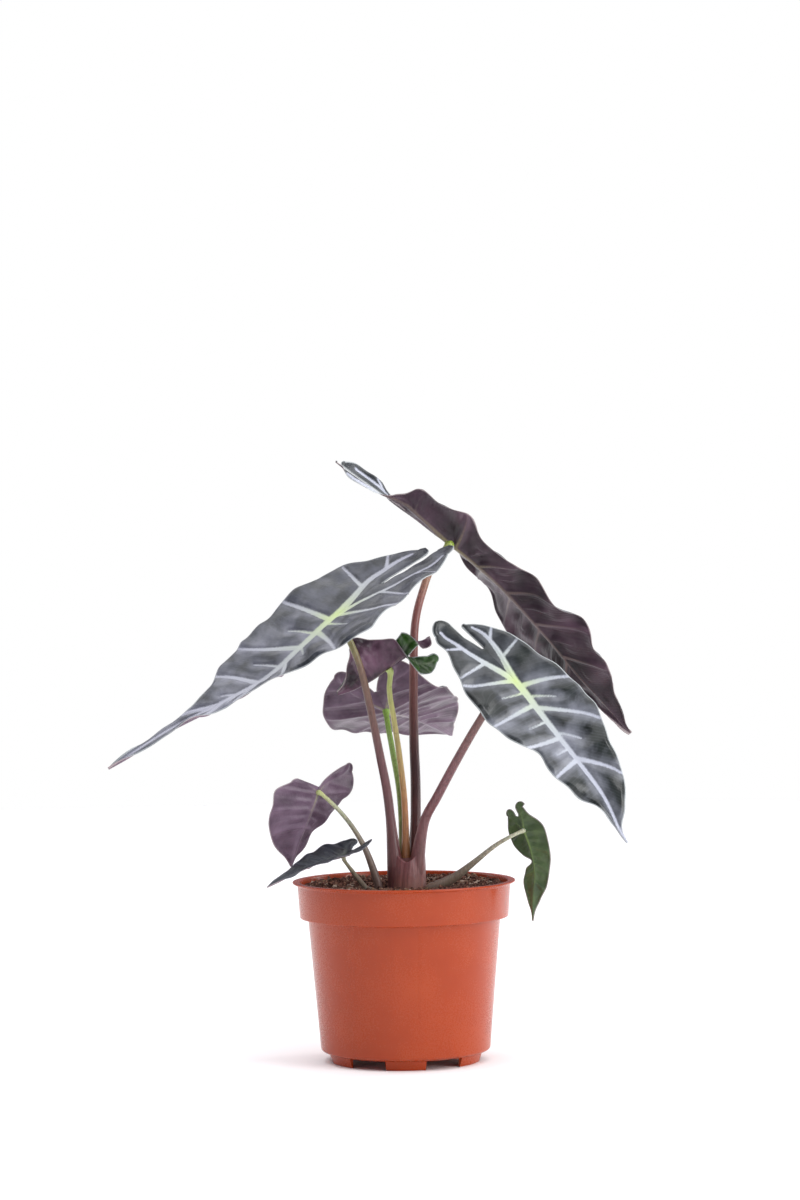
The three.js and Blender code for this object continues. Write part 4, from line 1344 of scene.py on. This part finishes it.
def foot_ring(outer, inner, height):
    """The six feet: short curved walls under the floor, each with softened lower edges."""
    points, faces = [], []
    section = [
        (outer, height), (outer - 1.6, 0.5), (outer - 2.0, 0), (inner + 0.4, 0), (inner, 0.5),
        (inner, height)
    ]
    size = len(section)
    for foot in range(FOOT_COUNT):
        middle = 2 * math.pi * foot / FOOT_COUNT - math.pi / 2
        half = math.radians(FOOT_HALF_ANGLE)
        first = len(points)
        for angle in np.linspace(middle - half, middle + half, FOOT_STEPS):
            for radius, z in section:
                points.append((radius * math.cos(angle), radius * math.sin(angle), z))
        faces += [list(q) for q in grid_faces(FOOT_STEPS, size, first, closed=True)]
        faces.append([first + k for k in range(size)][::-1])
        faces.append([first + (FOOT_STEPS - 1) * size + k for k in range(size)])
    return points, faces


print("feet:", FOOT_COUNT, "of", 2 * FOOT_HALF_ANGLE, "degrees each")

# %% Drain holes
DRAIN_RADIUS = 3.5
DRAIN_CIRCLE = FLOOR_EDGE - 15.3


def cut_drains(piece):
    """Cuts the drain holes through the floor with a boolean, then applies it."""
    work = bmesh.new()
    for i in range(FOOT_COUNT):
        angle = 2 * math.pi * i / FOOT_COUNT - math.pi / 2
        made = bmesh.ops.create_cone(
            work, cap_ends=True, segments=40, radius1=DRAIN_RADIUS * MM,
            radius2=DRAIN_RADIUS * MM, depth=5 * MM
        )
        shift = Vector((math.cos(angle), math.sin(angle), 0)) * DRAIN_CIRCLE * MM
        shift.z = FOOT_HEIGHT * MM
        bmesh.ops.translate(work, verts=made["verts"], vec=shift)
    mesh = bpy.data.meshes.new("drain_cutter")
    work.to_mesh(mesh)
    work.free()
    cutter = bpy.data.objects.new("drain_cutter", mesh)
    bpy.context.scene.collection.objects.link(cutter)
    modifier = piece.modifiers.new("drains", "BOOLEAN")
    modifier.operation = "DIFFERENCE"
    modifier.object = cutter
    modifier.solver = "EXACT"
    graph = bpy.context.evaluated_depsgraph_get()
    result = bpy.data.meshes.new_from_object(piece.evaluated_get(graph))
    piece.modifiers.clear()
    piece.data = result
    bpy.data.objects.remove(cutter)


print("drain holes:", FOOT_COUNT, "on a circle of radius", f"{DRAIN_CIRCLE:.1f} mm")

# %% Build the pot
POT_SIDES = 192
BOSS_RADIUS = 9.0


def build_pot(material):
    """The shell with its drain holes, then the feet and the middle boss under it."""
    points, faces = turn_profile(pot_profile(), POT_SIDES)
    shell = make_piece("pot_shell", points, faces, [material])
    weld(shell, 0.2)
    cut_drains(shell)
    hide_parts("pot")
    outer, root = FLOOR_EDGE - 0.05, FOOT_HEIGHT + 0.3
    foot_points, foot_faces = foot_ring(outer, outer - FOOT_THICKNESS, root)
    boss = rounded([(0.05, 0), (BOSS_RADIUS, 0), (BOSS_RADIUS, root)], [0, 0.5, 0])
    boss_points, boss_faces = turn_profile(boss, 64)
    offset = len(foot_points)
    all_points = np.vstack([foot_points, boss_points])
    all_faces = foot_faces + [[int(k) + offset for k in face] for face in boss_faces]
    feet = make_piece("pot_feet", all_points, all_faces, [material])
    for polygon in feet.data.polygons:
        polygon.use_smooth = False
    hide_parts("pot")
    return shell


print(build_pot(terracotta_plastic).name)

# %% [markdown]
# ## Stage
# A pale floor, a plain surround and four large soft lights, as in a product studio. Behind the
# plant the camera sees plain white, while the light that falls on the leaves comes from a dimmer,
# slightly violet surround, so the dark leaves keep their depth. The camera looks almost level from
# nearly two metres away, so the perspective is gentle.

# %% Floor
FLOOR_RADIUS = 2.0
FLOOR_SIDES = 96
PAPER_TONES = 333.3


def studio_floor():
    """A wide pale floor with a faint, matt paper tone."""
    material, tree, shader, place = start_material(
        "paper_floor", Roughness=0.9, Specular_IOR_Level=0.2
    )
    noise = add(tree, "TexNoise", {"Vector": place, "Scale": patches_of(PAPER_TONES)})
    tone = add(tree, "ValToRGB", {"Fac": noise}, stops=[(0.0, "#F9F9F9"), (1.0, "#FCFCFC")])
    fill(tree, shader, {"Base Color": tone})
    mesh = bpy.data.meshes.new("floor")
    turn = np.linspace(0, 2 * np.pi, FLOOR_SIDES, False)
    edge = FLOOR_RADIUS * np.stack([np.cos(turn), np.sin(turn), 0 * turn], 1)
    mesh.from_pydata(edge.tolist(), [], [tuple(range(FLOOR_SIDES))])
    mesh.materials.append(material)
    floor = bpy.data.objects.new("floor", mesh)
    bpy.context.scene.collection.objects.link(floor)
    floor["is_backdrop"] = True
    return floor


print(studio_floor().name, "radius", FLOOR_RADIUS, "m")

# %% Surround
scene = bpy.context.scene
world = bpy.data.worlds.new("surround")
scene.world = world
world.use_nodes = True
sky = world.node_tree
surround = sky.nodes["Background"]
fill(sky, surround, {"Color": "#E4DFEE", "Strength": 0.38})
backdrop = add(sky, "Background", {"Color": "#FFFFFF", "Strength": 1.0})
seen = add(sky, "LightPath")
either = add(sky, "MixShader", {0: seen.outputs["Is Camera Ray"], 1: surround, 2: backdrop})
fill(sky, sky.nodes["World Output"], {"Surface": either})
scene.view_settings.view_transform = "Standard"
print("surround strength:", round(surround.inputs["Strength"].default_value, 2))

# %% Lights


def soft_light(name, place, size, power, aim):
    """A square soft box that faces the plant."""
    lamp = bpy.data.lights.new(name, "AREA")
    lamp.shape = "RECTANGLE"
    lamp.size, lamp.size_y = size
    lamp.energy = power
    light = bpy.data.objects.new(name, lamp)
    light.location = place
    light.rotation_euler = (Vector(aim) - Vector(place)).to_track_quat("-Z", "Y").to_euler()
    bpy.context.scene.collection.objects.link(light)
    return light


for name, place, size, power, aim in (
    ("ceiling", (0, 0, 3.0), (6.0, 6.0), 195, (0, 0, 0)),
    ("right_box", (1.2, -0.8, 0.55), (0.7, 1.2), 16, (0, 0, 0.18)),
    ("right_strip", (1.4, 0.7, 0.5), (0.45, 1.2), 9, (0, 0, 0.18)),
    ("left_strip", (-1.4, 0.7, 0.5), (0.45, 1.2), 4.5, (0, 0, 0.18))
):
    print(soft_light(name, place, size, power, aim).name, power, "W")

# %% Camera
CAMERA_DISTANCE = 1.8
CAMERA_HEIGHT = 0.264
PITCH = math.radians(0.506)
ROLL = math.radians(0.7)
FOCAL_LENGTH = 100.2

lens = bpy.data.cameras.new("camera")
lens.sensor_fit = "VERTICAL"
lens.sensor_height = 36
lens.lens = FOCAL_LENGTH
camera = bpy.data.objects.new("camera", lens)
camera.location = (0, -CAMERA_DISTANCE, CAMERA_HEIGHT)
camera.rotation_euler = (math.pi / 2 - PITCH, ROLL, 0)
scene.collection.objects.link(camera)
scene.camera = camera
print("camera at", tuple(round(v, 3) for v in camera.location))

# %% [markdown]
# ## Sizes
# The box of the finished pieces is printed beside the box of the model they were built round.

# %% Sizes
bpy.context.view_layer.update()
visual_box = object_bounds()
for label, pair in (("cad", cad_box), ("visual", visual_box)):
    print(label, [[round(v / MM, 1) for v in corner] for corner in pair])
